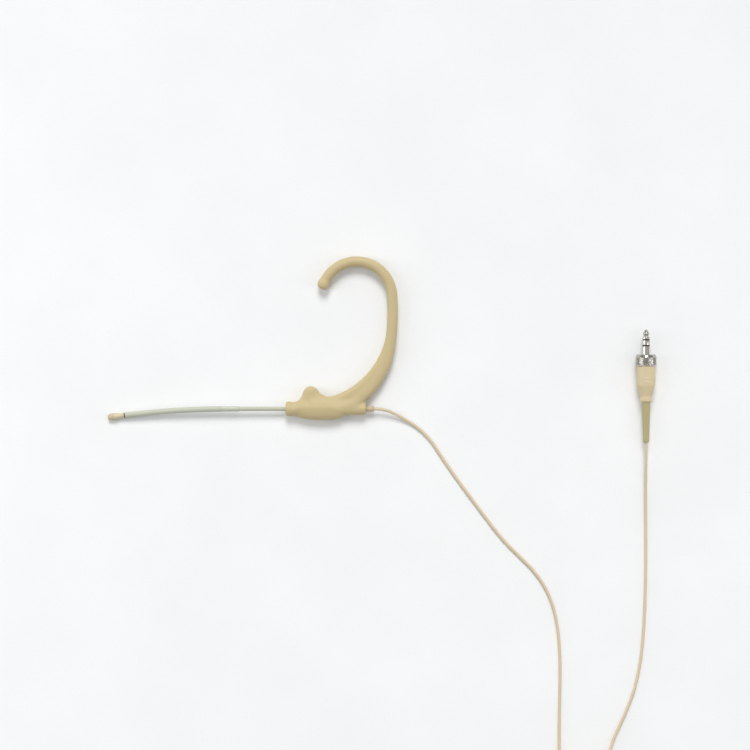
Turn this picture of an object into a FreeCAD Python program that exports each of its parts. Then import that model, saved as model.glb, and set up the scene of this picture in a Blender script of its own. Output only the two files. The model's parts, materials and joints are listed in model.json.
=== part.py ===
"""Single-ear headset microphone, lying on its side on a table: millimetres, +Z up.

+X runs from the mouth to the back of the head, +Y from the jaw to the crown, and +Z from the ear outwards.
The origin is under the middle of the headset, without its cord, on the table. The hook and the boom are
drawn about the middle of the hook's sleeve, the capsule about the boom's end, and the plug about its tip.
"""

import FreeCAD
import Part
import math
import os
import re
import Sketcher
from FreeCAD import Placement, Rotation, Vector

# Each driving dimension: its name, its value and what it is. Lengths are in mm and angles in degrees.
DIMENSIONS = [
    ("sleeve_x", 34.059, "middle of the hook's sleeve, from the origin"),
    ("sleeve_y", -32.8, "axis of the sleeve and the boom, from the origin"),
    ("sleeve_height", 4.0, "height of that axis over the table"),
    ("sleeve_length", 37.0, "moulded sleeve that holds the boom"),
    ("sleeve_front_radius", 3.35, "its collar at the mouth"),
    ("sleeve_waist_radius", 3.2, "just behind the collar"),
    ("sleeve_rear_radius", 2.75, "its rear end"),
    ("collar_length", 2.6, "collar at the mouth"),
    ("lip_length", 1.6, "lip that keeps the liner in, at each end"),
    ("lip_radius", 1.2, "hole in the lip"),
    ("liner_outer_radius", 1.95, "liner tube in the sleeve"),
    ("liner_inner_radius", 1.5, "its bore"),
    ("bush_outer_radius", 1.46, "split bush that grips the boom"),
    ("bush_inner_radius", 1.03, "its bore"),
    ("bush_slit", 0.4, "width of the slit along it"),
    ("end_play", 0.15, "gap at each end of the bush"),
    ("hook_radius", 2.4, "the over-ear arm is round"),
    ("hook_tip_radius", 2.7, "its bulb end"),
    ("hook_wire_radius", 0.6, "bendable wire inside the arm"),
    ("crown_x", 14.2, "middle of the bend over the ear, from the sleeve's middle"),
    ("crown_y", 51.8, "the same, across the sleeve"),
    ("crown_radius", 16.5, "that bend, at the arm's centre line"),
    ("crown_start", 158.2, "angle of the arm's tip on that bend"),
    ("crown_end", 3.5, "angle where that bend ends, behind the ear"),
    ("back_radius", 120.0, "the nearly straight stretch behind the ear"),
    ("back_turn", 11.2, "angle it turns by"),
    ("nape_radius", 38.6, "bend from behind the ear to the sleeve"),
    ("nape_turn", 49.8, "angle it turns by"),
    ("wire_turn", 34.0, "angle of that bend that the wire follows"),
    ("web_half_thickness", 2.2, "web between the arm and the sleeve"),
    ("web_radius", 37.0, "its concave edge, under the ear lobe"),
    ("web_x", -8.8, "middle of that edge, from the sleeve's middle"),
    ("web_y", 41.05, "the same, across the sleeve"),
    ("lobe_x", -7.0, "rest in front of the ear lobe: its middle"),
    ("lobe_y", 6.3, "the same, across the sleeve"),
    ("lobe_radius", 4.2, "its radius, seen from the side"),
    ("lobe_depth", 3.3, "its half thickness"),
    ("belly_x", -2.0, "swelling under the sleeve: its middle"),
    ("belly_y", -1.3, "the same, across the sleeve"),
    ("belly_length", 12.3, "its half length"),
    ("belly_radius", 4.0, "its radius, about its long axis"),
    ("tube_radius", 1.0, "boom tube"),
    ("tube_bore_radius", 0.75, "its bore"),
    ("tube_rear", 19.4, "its rear end, from the sleeve's middle"),
    ("tube_straight", 64.0, "straight stretch, from that end forwards"),
    ("boom_bend_radius", 335.0, "bend of its front stretch"),
    ("boom_bend", 8.35, "angle that stretch turns by"),
    ("boom_roll", 32.5, "the bend goes down to the table as well as to the jaw"),
    ("sheath_radius", 1.28, "sheath over the bent stretch"),
    ("clear_radius", 1.3, "clear sleeve that holds the sheath's rear end"),
    ("clear_on_bend", 3.6, "its length on the bent stretch"),
    ("clear_on_straight", 4.6, "its length on the straight stretch"),
    ("core_radius", 0.4, "bendable wire in the boom"),
    ("lead_radius", 0.12, "each of the capsule's two leads"),
    ("lead_offset", 0.6, "lead's centre, from the boom's centre"),
    ("splice_front", 8.0, "front of the splice, from the sleeve's middle"),
    ("splice_length", 5.0, "crimped splice from leads to cord"),
    ("splice_radius", 0.7, "its outside"),
    ("ferrule_length", 3.6, "strain relief where the cord leaves the boom"),
    ("ferrule_radius", 1.45, "its outside"),
    ("ferrule_gap", 0.15, "between the sleeve and the ferrule"),
    ("gasket_length", 0.5, "dark ring between the sheath and the capsule"),
    ("gasket_radius", 1.3, "its outside"),
    ("neck_radius", 1.05, "neck of the capsule housing"),
    ("neck_length", 2.0, "its length"),
    ("housing_radius", 1.65, "housing round the capsule"),
    ("housing_length", 4.9, "gasket to the joint with the front cap"),
    ("cap_length", 2.7, "front cap, beyond that joint"),
    ("cavity_radius", 1.2, "space in the housing and the cap"),
    ("cavity_end", 6.8, "its front, from the boom's end"),
    ("port_radius", 0.55, "sound port in the cap's front"),
    ("can_rear", 4.0, "rear of the electret capsule, from the boom's end"),
    ("can_length", 2.6, "its metal can"),
    ("can_radius", 1.15, "its outside"),
    ("can_wall", 0.12, "its wall"),
    ("disc_thickness", 0.25, "its diaphragm ring, back plate and board"),
    ("mesh_thickness", 0.1, "mesh behind the sound port"),
    ("pin_radius", 1.75, "plug's shank: a 3.5 mm jack"),
    ("tip_end", 4.5, "end of the tip contact, from the tip"),
    ("tip_band", 0.6, "first insulating band"),
    ("ring_contact_end", 7.2, "end of the ring contact"),
    ("ring_band", 0.7, "second insulating band"),
    ("shank_end", 14.2, "where the shank meets its flange"),
    ("flange_radius", 3.05, "flange that keeps the locking ring on"),
    ("flange_length", 0.7, "its thickness"),
    ("journal_radius", 2.5, "journal that the locking ring turns on"),
    ("lock_front", 11.6, "front rim of the locking ring, from the tip"),
    ("lock_length", 5.3, "its length"),
    ("lock_radius", 4.88, "its outside, over the knurling"),
    ("lock_rim_radius", 4.35, "its smooth front rim"),
    ("lock_rim_length", 1.2, "bevel from the rim to the knurling"),
    ("thread_radius", 3.3, "inside of its thread"),
    ("thread_depth", 0.3, "depth of the thread"),
    ("thread_pitch", 0.75, "pitch of the thread"),
    ("running_gap", 0.1, "between the locking ring and what it turns on"),
    ("tail_radius", 0.6, "tip contact's tail, inside the plug"),
    ("tail_wall", 0.25, "each tail that is nested round it"),
    ("tip_tail_end", 20.5, "end of that tail, from the tip"),
    ("tip_band_tail_end", 19.6, "end of the first insulator's tail"),
    ("ring_tail_end", 18.8, "end of the ring contact's tail"),
    ("ring_band_tail_end", 18.2, "end of the second insulator's tail"),
    ("sleeve_tail_end", 17.6, "end of the sleeve contact's tail"),
    ("sleeve_tail_radius", 2.0, "its outside"),
    ("conductor_radius", 0.15, "each of the three wires soldered to the contacts"),
    ("barrel_radius", 4.35, "moulded barrel"),
    ("barrel_straight", 9.0, "its straight stretch"),
    ("barrel_taper", 5.5, "its tapered stretch"),
    ("barrel_waist_radius", 2.65, "end of the taper"),
    ("barrel_collar_radius", 2.85, "collar behind it"),
    ("barrel_collar_length", 2.3, "its length"),
    ("mark_length", 2.4, "each of the two grip bars on the barrel"),
    ("mark_width", 0.45, "its width"),
    ("mark_height", 0.12, "how far it stands out"),
    ("mark_place", 5.2, "first bar, from the barrel's front"),
    ("mark_step", 1.7, "between the two bars"),
    ("core_block_radius", 3.3, "inner block that the barrel is moulded over"),
    ("core_block_front", 0.6, "its front, from the barrel's front"),
    ("core_block_taper", 1.5, "its taper down to the strain relief"),
    ("solder_gap", 0.1, "between the block and the sleeve contact's tail"),
    ("cord_front", 22.5, "where the cord ends inside the plug, from the tip"),
    ("relief_radius", 1.95, "plug's strain relief, where it leaves the barrel"),
    ("relief_end_radius", 1.4, "its far end"),
    ("relief_length", 18.8, "from the barrel to its far end"),
    ("relief_spigot", 4.6, "stretch inside the barrel"),
    ("cord_radius", 0.7, "cord"),
    ("plug_x", 182.3, "plug's axis, from the origin"),
    ("plug_y", 4.0, "plug's tip, from the origin"),
    ("coil_x", 153.2, "middle of the cord's coil, from the origin"),
    ("coil_y", -207.0, "the same"),
    ("coil_base", 0.65, "its underside, over the table"),
    ("coil_radius", 8.4, "middle of its turns: 12 cord diameters across"),
    ("coil_layers", 4, "cords side by side, and on top of each other"),
    ("tie_width", 3.2, "strap that holds the coil"),
    ("tie_thickness", 0.4, "its thickness"),
    ("tie_gap", 0.25, "between the strap and the coil, all round"),
]

COIL_TURNS = 15.5

# The cord's route, chosen by hand: from the ferrule to the coil, and from the coil to the plug.
LEAD_ROUTE = [
    (56.309, -32.8, 4.0),
    (60.1, -32.85, 3.98),
    (64.5, -34.3, 3.2),
    (70.0, -37.3, 1.7),
    (76.4, -41.2, 0.85),
    (82.6, -47.2, 0.7),
    (87.9, -55.5, 0.7),
    (96.2, -67.4, 0.7),
    (105.9, -80.4, 0.7),
    (115.4, -93.0, 0.7),
    (123.6, -101.2, 0.7),
    (132.0, -109.4, 0.7),
    (138.6, -120.6, 0.7),
    (142.0, -135.0, 0.7),
    (142.9, -151.0, 0.7),
    (142.6, -168.0, 0.7),
    (142.3, -183.0, 0.8),
    (142.5, -196.0, 1.15),
    (142.7, -207.0, 1.35),
]
TAIL_ROUTE = [
    (163.7, -207.0, 5.55),
    (163.9, -200.5, 4.9),
    (165.1, -192.8, 2.9),
    (168.2, -184.4, 1.2),
    (172.9, -175.0, 0.7),
    (177.6, -163.0, 0.7),
    (180.6, -148.5, 0.7),
    (182.0, -131.0, 0.7),
    (182.6, -112.0, 0.7),
    (182.7, -93.0, 0.7),
    (182.5, -78.0, 1.2),
    (182.3, -66.0, 3.2),
    (182.29, -56.4, 4.83),
    (182.3, -48.6, 4.88),
]

NAMES = {name for name, value, meaning in DIMENSIONS}

doc = FreeCAD.newDocument("headset_microphone")
sheet = doc.addObject("Spreadsheet::Sheet", "Size")
nodes = []


def fill_sheet():
    """Puts every driving dimension in the sheet, under its own name."""
    for row, (name, value, meaning) in enumerate(DIMENSIONS, start=1):
        sheet.set(f"A{row}", meaning)
        sheet.set(f"B{row}", str(value))
        sheet.setAlias(f"B{row}", name)
    doc.recompute()


def linked(expression):
    """The expression with each of the sheet's names pointed at the sheet."""
    return re.sub(
        r"[a-z][a-z_]*", lambda word: "Size." + word[0] if word[0] in NAMES else word[0], expression
    )


def size(expression):
    """The number that an expression in the sheet's names gives now."""
    return float(sheet.evalExpression(linked(expression)))


def bound(feature, **sizes):
    """Binds a feature's properties to expressions in the sheet's names."""
    for name, expression in sizes.items():
        feature.setExpression(name, linked(expression))


def keep(part, name):
    """Lists a finished sub-part, to be checked and written under its name."""
    part.Label = name
    nodes.append(part)
    return part


def new_body(name, place):
    body = doc.addObject("PartDesign::Body", name)
    body.Placement = place
    return keep(body, name)


def new_sketch(body, name, plane):
    sketch = body.newObject("Sketcher::SketchObject", name)
    origin_plane = next(f for f in body.Origin.OriginFeatures if f.Role == plane)
    sketch.AttachmentSupport = [(origin_plane, "")]
    sketch.MapMode = "FlatFace"
    return sketch


def pin_down(sketch, edge, end, spot):
    """Ties one end of a sketch edge to the place that two expressions give."""
    ways = (("DistanceX", spot[0], -2), ("DistanceY", spot[1], -1))
    for way, expression, axis in ways:
        value = size(expression)
        if abs(value) < 1e-9:
            sketch.addConstraint(Sketcher.Constraint("PointOnObject", edge, end, axis))
        else:
            number = sketch.addConstraint(Sketcher.Constraint(way, -1, 1, edge, end, value))
            sketch.setExpression(f"Constraints[{number}]", linked(expression))


def bulge_middle(start, end, radius, side):
    """The middle of the arc of that radius from start to end; side is 1 if it bulges to the left."""
    chord = end - start
    half = chord.Length / 2
    rise = radius - math.sqrt(max(radius * radius - half * half, 0.0))
    left = Vector(-chord.y, chord.x, 0).normalize()
    return (start + end) * 0.5 + left * rise * side


def draw(sketch, corners, closed=True):
    """Draws straight lines and arcs through corners, each (x, y) or (x, y, arc radius, bulge side)."""
    spots = [Vector(size(c[0]), size(c[1]), 0) for c in corners]
    pairs = [(i - 1, i) for i in range(0 if closed else 1, len(corners))]
    ends = []
    for before, here in pairs:
        start, end, corner = spots[before], spots[here], corners[here]
        if len(corner) == 2:
            edge = sketch.addGeometry(Part.LineSegment(start, end), False)
        else:
            middle = bulge_middle(start, end, size(corner[2]), corner[3])
            edge = sketch.addGeometry(Part.ArcOfCircle(start, middle, end), False)
        first = 1 if sketch.getPoint(edge, 1).distanceToPoint(start) < 1e-6 else 2
        ends.append((edge, first, 3 - first))
    for number, (edge, first, last) in enumerate(ends):
        if closed or number:
            sketch.addConstraint(
                Sketcher.Constraint("Coincident", ends[number - 1][0], ends[number - 1][2], edge, first)
            )
        else:
            pin_down(sketch, edge, first, corners[0])
        pin_down(sketch, edge, last, corners[pairs[number][1]])
        if len(corners[pairs[number][1]]) > 2:
            radius = corners[pairs[number][1]][2]
            limit = sketch.addConstraint(Sketcher.Constraint("Radius", edge, size(radius)))
            sketch.setExpression(f"Constraints[{limit}]", linked(radius))


def turned(name, corners, place):
    """A piece turned about its local Z axis; corners are (radius, station along the axis)."""
    body = new_body(name, place)
    section = new_sketch(body, name + "_section", "XZ_Plane")
    draw(section, corners)
    turn = body.newObject("PartDesign::Revolution", name + "_turn")
    turn.Profile = section
    turn.ReferenceAxis = (section, ["V_Axis"])
    turn.Angle = 360
    return body


def ring_outline(inner, outer, start, end):
    """Corners of a rectangle, as a plain tube's or bar's section has."""
    return [(inner, start), (outer, start), (outer, end), (inner, end)]


def along(base, direction):
    """A placement at base whose local Z runs along the direction."""
    return Placement(base, Rotation(Vector(0, 0, 1), direction))


def unit(degrees):
    """The unit vector at that angle from +X, in the XY plane."""
    return Vector(math.cos(math.radians(degrees)), math.sin(math.radians(degrees)), 0)


def shaped(name, shape, place=Placement()):
    """A sub-part whose shape is made with Part's own functions, from the sheet's sizes."""
    part = keep(doc.addObject("Part::Feature", name), name)
    part.Shape = shape
    part.Placement = place
    return part


def pipe(path, radius, bore=0.0):
    """A round bar along the path, or a tube if it has a bore."""
    start = path.Vertexes[0].Point if path.Edges[0].Orientation == "Forward" else path.Vertexes[-1].Point
    first = path.Edges[0]
    near = min(first.ParameterRange, key=lambda place: first.valueAt(place).distanceToPoint(start))
    heading = first.tangentAt(near)
    bars = []
    for outside in (radius, bore):
        if outside:
            circle = Part.Wire(Part.makeCircle(outside, start, heading))
            bars.append(path.makePipeShell([circle], True, True))
    return bars[0].cut(bars[1]) if bore else bars[0]


def bar(start, end, radius):
    """A straight round bar between two points."""
    return Part.makeCylinder(radius, start.distanceToPoint(end), start, end - start)


def swelling(middle, reach, radius):
    """Half an ellipse turned about X: that far to each side along X, and that far across."""
    ends = (middle + Vector(reach, 0, 0), middle - Vector(reach, 0, 0))
    ellipse = Part.Ellipse(ends[0], middle + Vector(0, radius, 0), middle)
    half = Part.ArcOfEllipse(ellipse, 0, math.pi).toShape()
    chord = Part.LineSegment(*ends).toShape()
    return Part.Face(Part.Wire([half, chord])).revolve(middle, Vector(1, 0, 0), 360)


def rounded_disc(middle, radius, half_thickness):
    """A disc about Z whose edge is round."""
    disc = Part.makeCylinder(radius, 2 * half_thickness, middle - Vector(0, 0, half_thickness))
    rims = [edge for edge in disc.Edges if edge.Curve.TypeId == "Part::GeomCircle"]
    return disc.makeFillet(half_thickness - 0.05, rims)


# The hook, about its sleeve's middle: +X runs to the sleeve's rear and +Z out of the ear.


class Bend:
    """An arc of the hook's arm, walked clockwise: its middle, its radius and its two ends' angles."""

    def __init__(self, middle, radius, start, turn):
        self.middle = middle
        self.radius = radius
        self.start = start
        self.end = start - turn

    def point(self, degrees):
        return self.middle + unit(degrees) * self.radius

    def arc(self, end=None):
        last = self.end if end is None else end
        halfway = self.point((self.start + last) / 2)
        return Part.Arc(self.point(self.start), halfway, self.point(last)).toShape()


def arm_bends():
    """The arm's three tangent bends: over the ear, behind it, and back to the sleeve."""
    crown_middle = Vector(size("crown_x"), size("crown_y"), 0)
    crown = Bend(crown_middle, size("crown_radius"), size("crown_start"), size("crown_start - crown_end"))
    back_middle = crown.point(crown.end) - unit(crown.end) * size("back_radius")
    back = Bend(back_middle, size("back_radius"), crown.end, size("back_turn"))
    nape_middle = back.point(back.end) - unit(back.end) * size("nape_radius")
    nape = Bend(nape_middle, size("nape_radius"), back.end, size("nape_turn"))
    return crown, back, nape


def web_plate(nape):
    """The crescent web between the arm and the sleeve, rounded along its concave edge."""
    middle = Vector(size("web_x"), size("web_y"), 0)
    edge = Bend(middle, size("web_radius"), math.degrees(math.atan2(-middle.y, -middle.x)), 0)
    half = size("web_half_thickness")
    top = nape.point(nape.start)
    upper = middle + (top - middle).normalize() * edge.radius
    sleeve_end = nape.point(nape.end)
    foot_x = size("lobe_x")
    foot = Vector(foot_x, middle.y - math.sqrt(edge.radius ** 2 - (foot_x - middle.x) ** 2), 0)
    halfway = middle + ((upper + foot) * 0.5 - middle).normalize() * edge.radius
    outline = Part.Wire([
        Part.LineSegment(top, upper).toShape(),
        Part.Arc(upper, halfway, foot).toShape(),
        Part.LineSegment(foot, Vector(foot_x, 0, 0)).toShape(),
        Part.LineSegment(Vector(foot_x, 0, 0), Vector(sleeve_end.x, 0, 0)).toShape(),
        Part.LineSegment(Vector(sleeve_end.x, 0, 0), sleeve_end).toShape(),
        Part.Arc(sleeve_end, nape.point((nape.start + nape.end) / 2), top).toShape(),
    ])
    return Part.Face(outline).extrude(Vector(0, 0, 2 * half)).translated(Vector(0, 0, -half))


def sleeve_solid():
    """The moulded sleeve with its collar, along X."""
    front, rear = size("-sleeve_length / 2"), size("sleeve_length / 2")
    mouth, backwards = Vector(front, 0, 0), Vector(1, 0, 0)
    collar = Part.makeCylinder(size("sleeve_front_radius"), size("collar_length"), mouth, backwards)
    tube = Part.makeCone(
        size("sleeve_waist_radius"), size("sleeve_rear_radius"), rear - front, mouth, backwards
    )
    return collar.fuse(tube)


def sleeve_bore():
    """What is cut out of the sleeve: the liner's seat, and a hole through the lip at each end."""
    start, length, lip = size("-sleeve_length / 2"), size("sleeve_length"), size("lip_length")
    backwards = Vector(1, 0, 0)
    seat_start = Vector(start + lip, 0, 0)
    seat = Part.makeCylinder(size("liner_outer_radius"), length - 2 * lip, seat_start, backwards)
    hole = Part.makeCylinder(size("lip_radius"), length + 2, Vector(start - 1, 0, 0), backwards)
    return seat.fuse(hole)


def joined(first, others):
    """The solids fused one after another, with each step's volume compared with what it should be."""
    whole = first
    for other in others:
        expected = whole.Volume + other.Volume - whole.common(other).Volume
        whole = whole.fuse(other)
        if abs(whole.Volume - expected) > 0.01 * expected:
            raise RuntimeError(f"a fuse gave {whole.Volume:.1f} cubic mm, not {expected:.1f}")
    return whole


def make_hook():
    """The silicone hook, and the bendable wire inside its arm."""
    place = Placement(Vector(size("sleeve_x"), size("sleeve_y"), size("sleeve_height")), Rotation())
    crown, back, nape = arm_bends()
    arm = pipe(Part.Wire([crown.arc(), back.arc(), nape.arc()]), size("hook_radius"))
    tip = Part.makeSphere(size("hook_tip_radius"), crown.point(crown.start))
    lobe_middle = Vector(size("lobe_x"), size("lobe_y"), 0)
    lobe = rounded_disc(lobe_middle, size("lobe_radius"), size("lobe_depth"))
    belly_middle = Vector(size("belly_x"), size("belly_y"), 0)
    belly = swelling(belly_middle, size("belly_length"), size("belly_radius"))
    rubber = joined(sleeve_solid(), [belly, lobe, web_plate(nape), arm, tip])
    wire_end = nape.start - size("wire_turn")
    wire = pipe(Part.Wire([crown.arc(), back.arc(), nape.arc(wire_end)]), size("hook_wire_radius"))
    shaped("ear_hook", rubber.cut(sleeve_bore()).cut(wire), place)
    shaped("hook_core_wire", wire, place)


def make_sleeve_parts():
    """The liner in the sleeve, and the split bush that turns in it and grips the boom."""
    axis = along(Vector(size("sleeve_x"), size("sleeve_y"), size("sleeve_height")), Vector(1, 0, 0))
    seat = "(sleeve_length / 2 - lip_length)"
    liner = ring_outline("liner_inner_radius", "liner_outer_radius", "-" + seat, seat)
    turned("sleeve_liner", liner, axis)
    bush_end = f"({seat} - end_play)"
    wall = ring_outline("bush_inner_radius", "bush_outer_radius", "-" + bush_end, bush_end)
    bush = turned("friction_bush", wall, axis)
    slit = new_sketch(bush, "bush_slit_line", "XZ_Plane")
    wide = "bush_slit / 2"
    draw(slit, ring_outline("-" + wide, wide, "-" + bush_end, bush_end))
    cut = bush.newObject("PartDesign::Pocket", "bush_slit_cut")
    cut.Profile = slit
    cut.Reversed = True
    bound(cut, Length="bush_outer_radius + 1")


# The boom, about the same point: straight, then bent towards the jaw and down to the table.


class Boom:
    """The boom's centre line: its rear end, where its bend starts, the bend's axes and its front end."""

    def __init__(self):
        self.rear = Vector(size("tube_rear"), 0, 0)
        self.knee = Vector(size("tube_rear - tube_straight"), 0, 0)
        roll = math.radians(size("boom_roll"))
        self.side = Vector(0, -math.cos(roll), -math.sin(roll))
        self.across = Vector(0, math.sin(roll), -math.cos(roll))
        self.turn = math.radians(size("boom_bend"))
        self.front = self.at(1.0)
        self.heading = Vector(-math.cos(self.turn), 0, 0) + self.side * math.sin(self.turn)

    def at(self, share):
        """The point that share of the way round the bend."""
        angle = self.turn * share
        radius = size("boom_bend_radius")
        forwards = Vector(-radius * math.sin(angle), 0, 0)
        return self.knee + forwards + self.side * radius * (1 - math.cos(angle))

    def bend(self, start=0.0, end=1.0):
        """The bend's arc between two shares of the way round it."""
        return Part.Arc(self.at(start), self.at((start + end) / 2), self.at(end)).toShape()

    def path(self, rear_x, ahead=0.0):
        """The centre line from rear_x on the straight, and a straight stretch ahead of the front end."""
        edges = [Part.LineSegment(Vector(rear_x, 0, 0), self.knee).toShape(), self.bend()]
        if ahead:
            edges.append(Part.LineSegment(self.front, self.front + self.heading * ahead).toShape())
        return Part.Wire(edges)


def make_boom(boom, place):
    """The boom's tube, its sheath and the wires inside it."""
    tube = size("tube_radius")
    shaped("boom_tube", pipe(boom.path(size("tube_rear")), tube, size("tube_bore_radius")), place)
    seam = size("clear_on_bend") / (size("boom_bend_radius") * boom.turn)
    shaped("boom_sheath", pipe(Part.Wire([boom.bend(seam)]), size("sheath_radius"), tube), place)
    clear_rear = boom.knee + Vector(size("clear_on_straight"), 0, 0)
    clear_path = Part.Wire([Part.LineSegment(clear_rear, boom.knee).toShape(), boom.bend(0.0, seam)])
    shaped("sheath_clear_sleeve", pipe(clear_path, size("clear_radius"), tube), place)
    shaped("boom_core_wire", pipe(boom.path(size("splice_front")), size("core_radius")), place)
    path = boom.path(size("splice_front"), size("can_rear"))
    leads = []
    for side in (-1, 1):
        moved = path.translated(boom.across * size("lead_offset") * side)
        leads.append(pipe(moved, size("lead_radius")))
    shaped("capsule_leads", Part.makeCompound(leads), place)


def make_capsule(boom, place):
    """The capsule at the boom's front, each piece turned about the boom's last direction."""
    front = along(place.Base + boom.front, boom.heading)
    joint = "(gasket_length + housing_length)"
    tip = f"({joint} + cap_length)"
    neck_end = "(gasket_length + neck_length)"
    gasket = ring_outline("tube_bore_radius", "gasket_radius", "0", "gasket_length")
    turned("capsule_gasket", gasket, front)
    turned("capsule_housing", [
        ("tube_bore_radius", "gasket_length"),
        ("neck_radius", "gasket_length"),
        ("neck_radius", neck_end),
        ("housing_radius", joint, "8", -1),
        ("cavity_radius", joint),
        ("cavity_radius", "can_rear"),
        ("tube_bore_radius", "can_rear"),
    ], front)
    turned("front_cap", [
        ("cavity_radius", joint),
        ("housing_radius", joint),
        ("port_radius + 0.35", f"{tip} - 0.1", "2.1", -1),
        ("port_radius + 0.2", tip),
        ("port_radius", tip),
        ("port_radius", "cavity_end + mesh_thickness"),
        ("cavity_radius", "cavity_end + mesh_thickness"),
    ], front)
    mesh = ring_outline("0", "cavity_radius", "cavity_end", "cavity_end + mesh_thickness")
    turned("cap_mesh", mesh, front)
    can_front = "(can_rear + can_length)"
    bore = "(can_radius - can_wall)"
    turned("capsule_can", [
        (bore, "can_rear"),
        ("can_radius", "can_rear"),
        ("can_radius", can_front),
        ("port_radius", can_front),
        ("port_radius", f"{can_front} - can_wall"),
        (bore, f"{can_front} - can_wall"),
    ], front)
    for name, start in (("capsule_board", "0"), ("back_plate", "1.5"), ("diaphragm", "2.1")):
        start = f"(can_rear + {start})"
        end = f"{start} + disc_thickness"
        turned(name, ring_outline("0", bore, start, end), front)


def make_cord_exit(axis):
    """What joins the cord to the boom: the splice, the cord's end in the tube, and their strain relief."""
    splice_end = "(splice_front + splice_length)"
    ferrule_front = "(sleeve_length / 2 + ferrule_gap)"
    ferrule_end = f"({ferrule_front} + ferrule_length)"
    turned("wire_splice", ring_outline("0", "splice_radius", "splice_front", splice_end), axis)
    turned("cord_in_boom", ring_outline("0", "cord_radius", splice_end, ferrule_end), axis)
    turned("boom_strain_relief", [
        ("tube_radius", ferrule_front),
        ("ferrule_radius", ferrule_front),
        ("ferrule_radius", f"{ferrule_end} - 0.5"),
        ("ferrule_radius - 0.5", ferrule_end, "0.5", -1),
        ("cord_radius", ferrule_end),
        ("cord_radius", "tube_rear"),
        ("tube_radius", "tube_rear"),
    ], axis)


# The plug, from its tip backwards. Each contact's tail runs back inside the next one's.


def make_contacts(axis):
    """The jack's three contacts and the insulators between them."""
    turned("tip_contact", [
        ("0", "0"),
        ("0.75", "0.35", "1.0", -1),
        ("1.53", "1.75"),
        ("1.25", "3.1"),
        ("pin_radius", "3.75"),
        ("pin_radius", "tip_end"),
        ("tail_radius", "tip_end"),
        ("tail_radius", "tip_tail_end"),
        ("0", "tip_tail_end"),
    ], axis)
    band_start = "(tip_end + tip_band)"
    sleeve_start = "(ring_contact_end + ring_band)"
    bands = (
        ("tip_insulator", "tip_end", band_start, "tip_band_tail_end"),
        ("ring_contact", band_start, "ring_contact_end", "ring_tail_end"),
        ("ring_insulator", "ring_contact_end", sleeve_start, "ring_band_tail_end"),
    )
    for number, (name, start, end, tail_end) in enumerate(bands):
        bore = f"(tail_radius + {number} * tail_wall)"
        tail = f"(tail_radius + {number + 1} * tail_wall)"
        turned(name, [
            (bore, start),
            ("pin_radius", start),
            ("pin_radius", end),
            (tail, end),
            (tail, tail_end),
            (bore, tail_end),
        ], axis)
    bore = f"(tail_radius + {len(bands)} * tail_wall)"
    barrel_start = "lock_front + lock_length + running_gap"
    turned("sleeve_contact", [
        (bore, sleeve_start),
        ("pin_radius", sleeve_start),
        ("pin_radius", "shank_end"),
        ("flange_radius", "shank_end"),
        ("flange_radius", "shank_end + flange_length"),
        ("journal_radius", "shank_end + flange_length"),
        ("journal_radius", barrel_start),
        ("sleeve_tail_radius", barrel_start),
        ("sleeve_tail_radius", "sleeve_tail_end"),
        (bore, "sleeve_tail_end"),
    ], axis)


def make_lock_ring(axis):
    """The knurled ring that screws onto the transmitter's socket; it turns freely behind the flange."""
    end = "(lock_front + lock_length)"
    seat = "(shank_end + flange_length + running_gap)"
    groove = "(thread_radius + thread_depth)"
    corners = [(groove, "lock_front"), ("lock_rim_radius", "lock_front")]
    corners.append(("lock_radius", "lock_front + lock_rim_length"))
    corners.append(("lock_radius", f"{end} - 0.2"))
    corners.append(("lock_radius - 0.2", end))
    corners.append(("journal_radius + running_gap", end))
    corners.append(("journal_radius + running_gap", seat))
    corners.append(("thread_radius", seat))
    for turn in (3, 2, 1):
        crest = f"(lock_front + {turn} * thread_pitch)"
        corners.append(("thread_radius", f"{crest} + 0.1"))
        corners.append(("thread_radius", f"{crest} - 0.1"))
        corners.append((groove, f"{crest} - thread_pitch / 2"))
    turned("lock_ring", corners, axis)


def make_plug_body(axis):
    """The moulded barrel, the block inside it, the conductors, the cord's end and the strain relief."""
    start = "(lock_front + lock_length + running_gap)"
    taper = f"({start} + barrel_straight)"
    waist = f"({taper} + barrel_taper)"
    end = f"({waist} + barrel_collar_length)"
    spigot = f"({end} - relief_spigot)"
    relief_end = f"({end} + relief_length)"
    block_start = f"({start} + core_block_front)"
    block_end = f"({spigot} - core_block_taper)"
    solder_bore = "(sleeve_tail_radius + solder_gap)"
    turned("plug_barrel", [
        ("sleeve_tail_radius", start),
        ("barrel_radius - 0.3", start),
        ("barrel_radius", f"{start} + 0.3"),
        ("barrel_radius", taper),
        ("barrel_waist_radius", waist),
        ("barrel_collar_radius", f"{waist} + 0.3"),
        ("barrel_collar_radius", f"{end} - 0.4"),
        ("barrel_collar_radius - 0.4", end),
        ("relief_radius", end),
        ("relief_radius", spigot),
        ("core_block_radius", block_end),
        ("core_block_radius", block_start),
        ("sleeve_tail_radius", block_start),
    ], axis)
    turned("plug_core_block", [
        (solder_bore, block_start),
        ("core_block_radius", block_start),
        ("core_block_radius", block_end),
        ("relief_radius", spigot),
        ("cord_radius", spigot),
        ("cord_radius", "cord_front"),
        (solder_bore, "cord_front"),
    ], axis)
    turned("plug_strain_relief", [
        ("cord_radius", spigot),
        ("relief_radius", spigot),
        ("relief_radius", end),
        ("relief_end_radius", f"{relief_end} - 0.8"),
        ("cord_radius", relief_end, "0.9", -1),
    ], axis)
    turned("cord_in_plug", ring_outline("0", "cord_radius", "cord_front", relief_end), axis)


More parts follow.
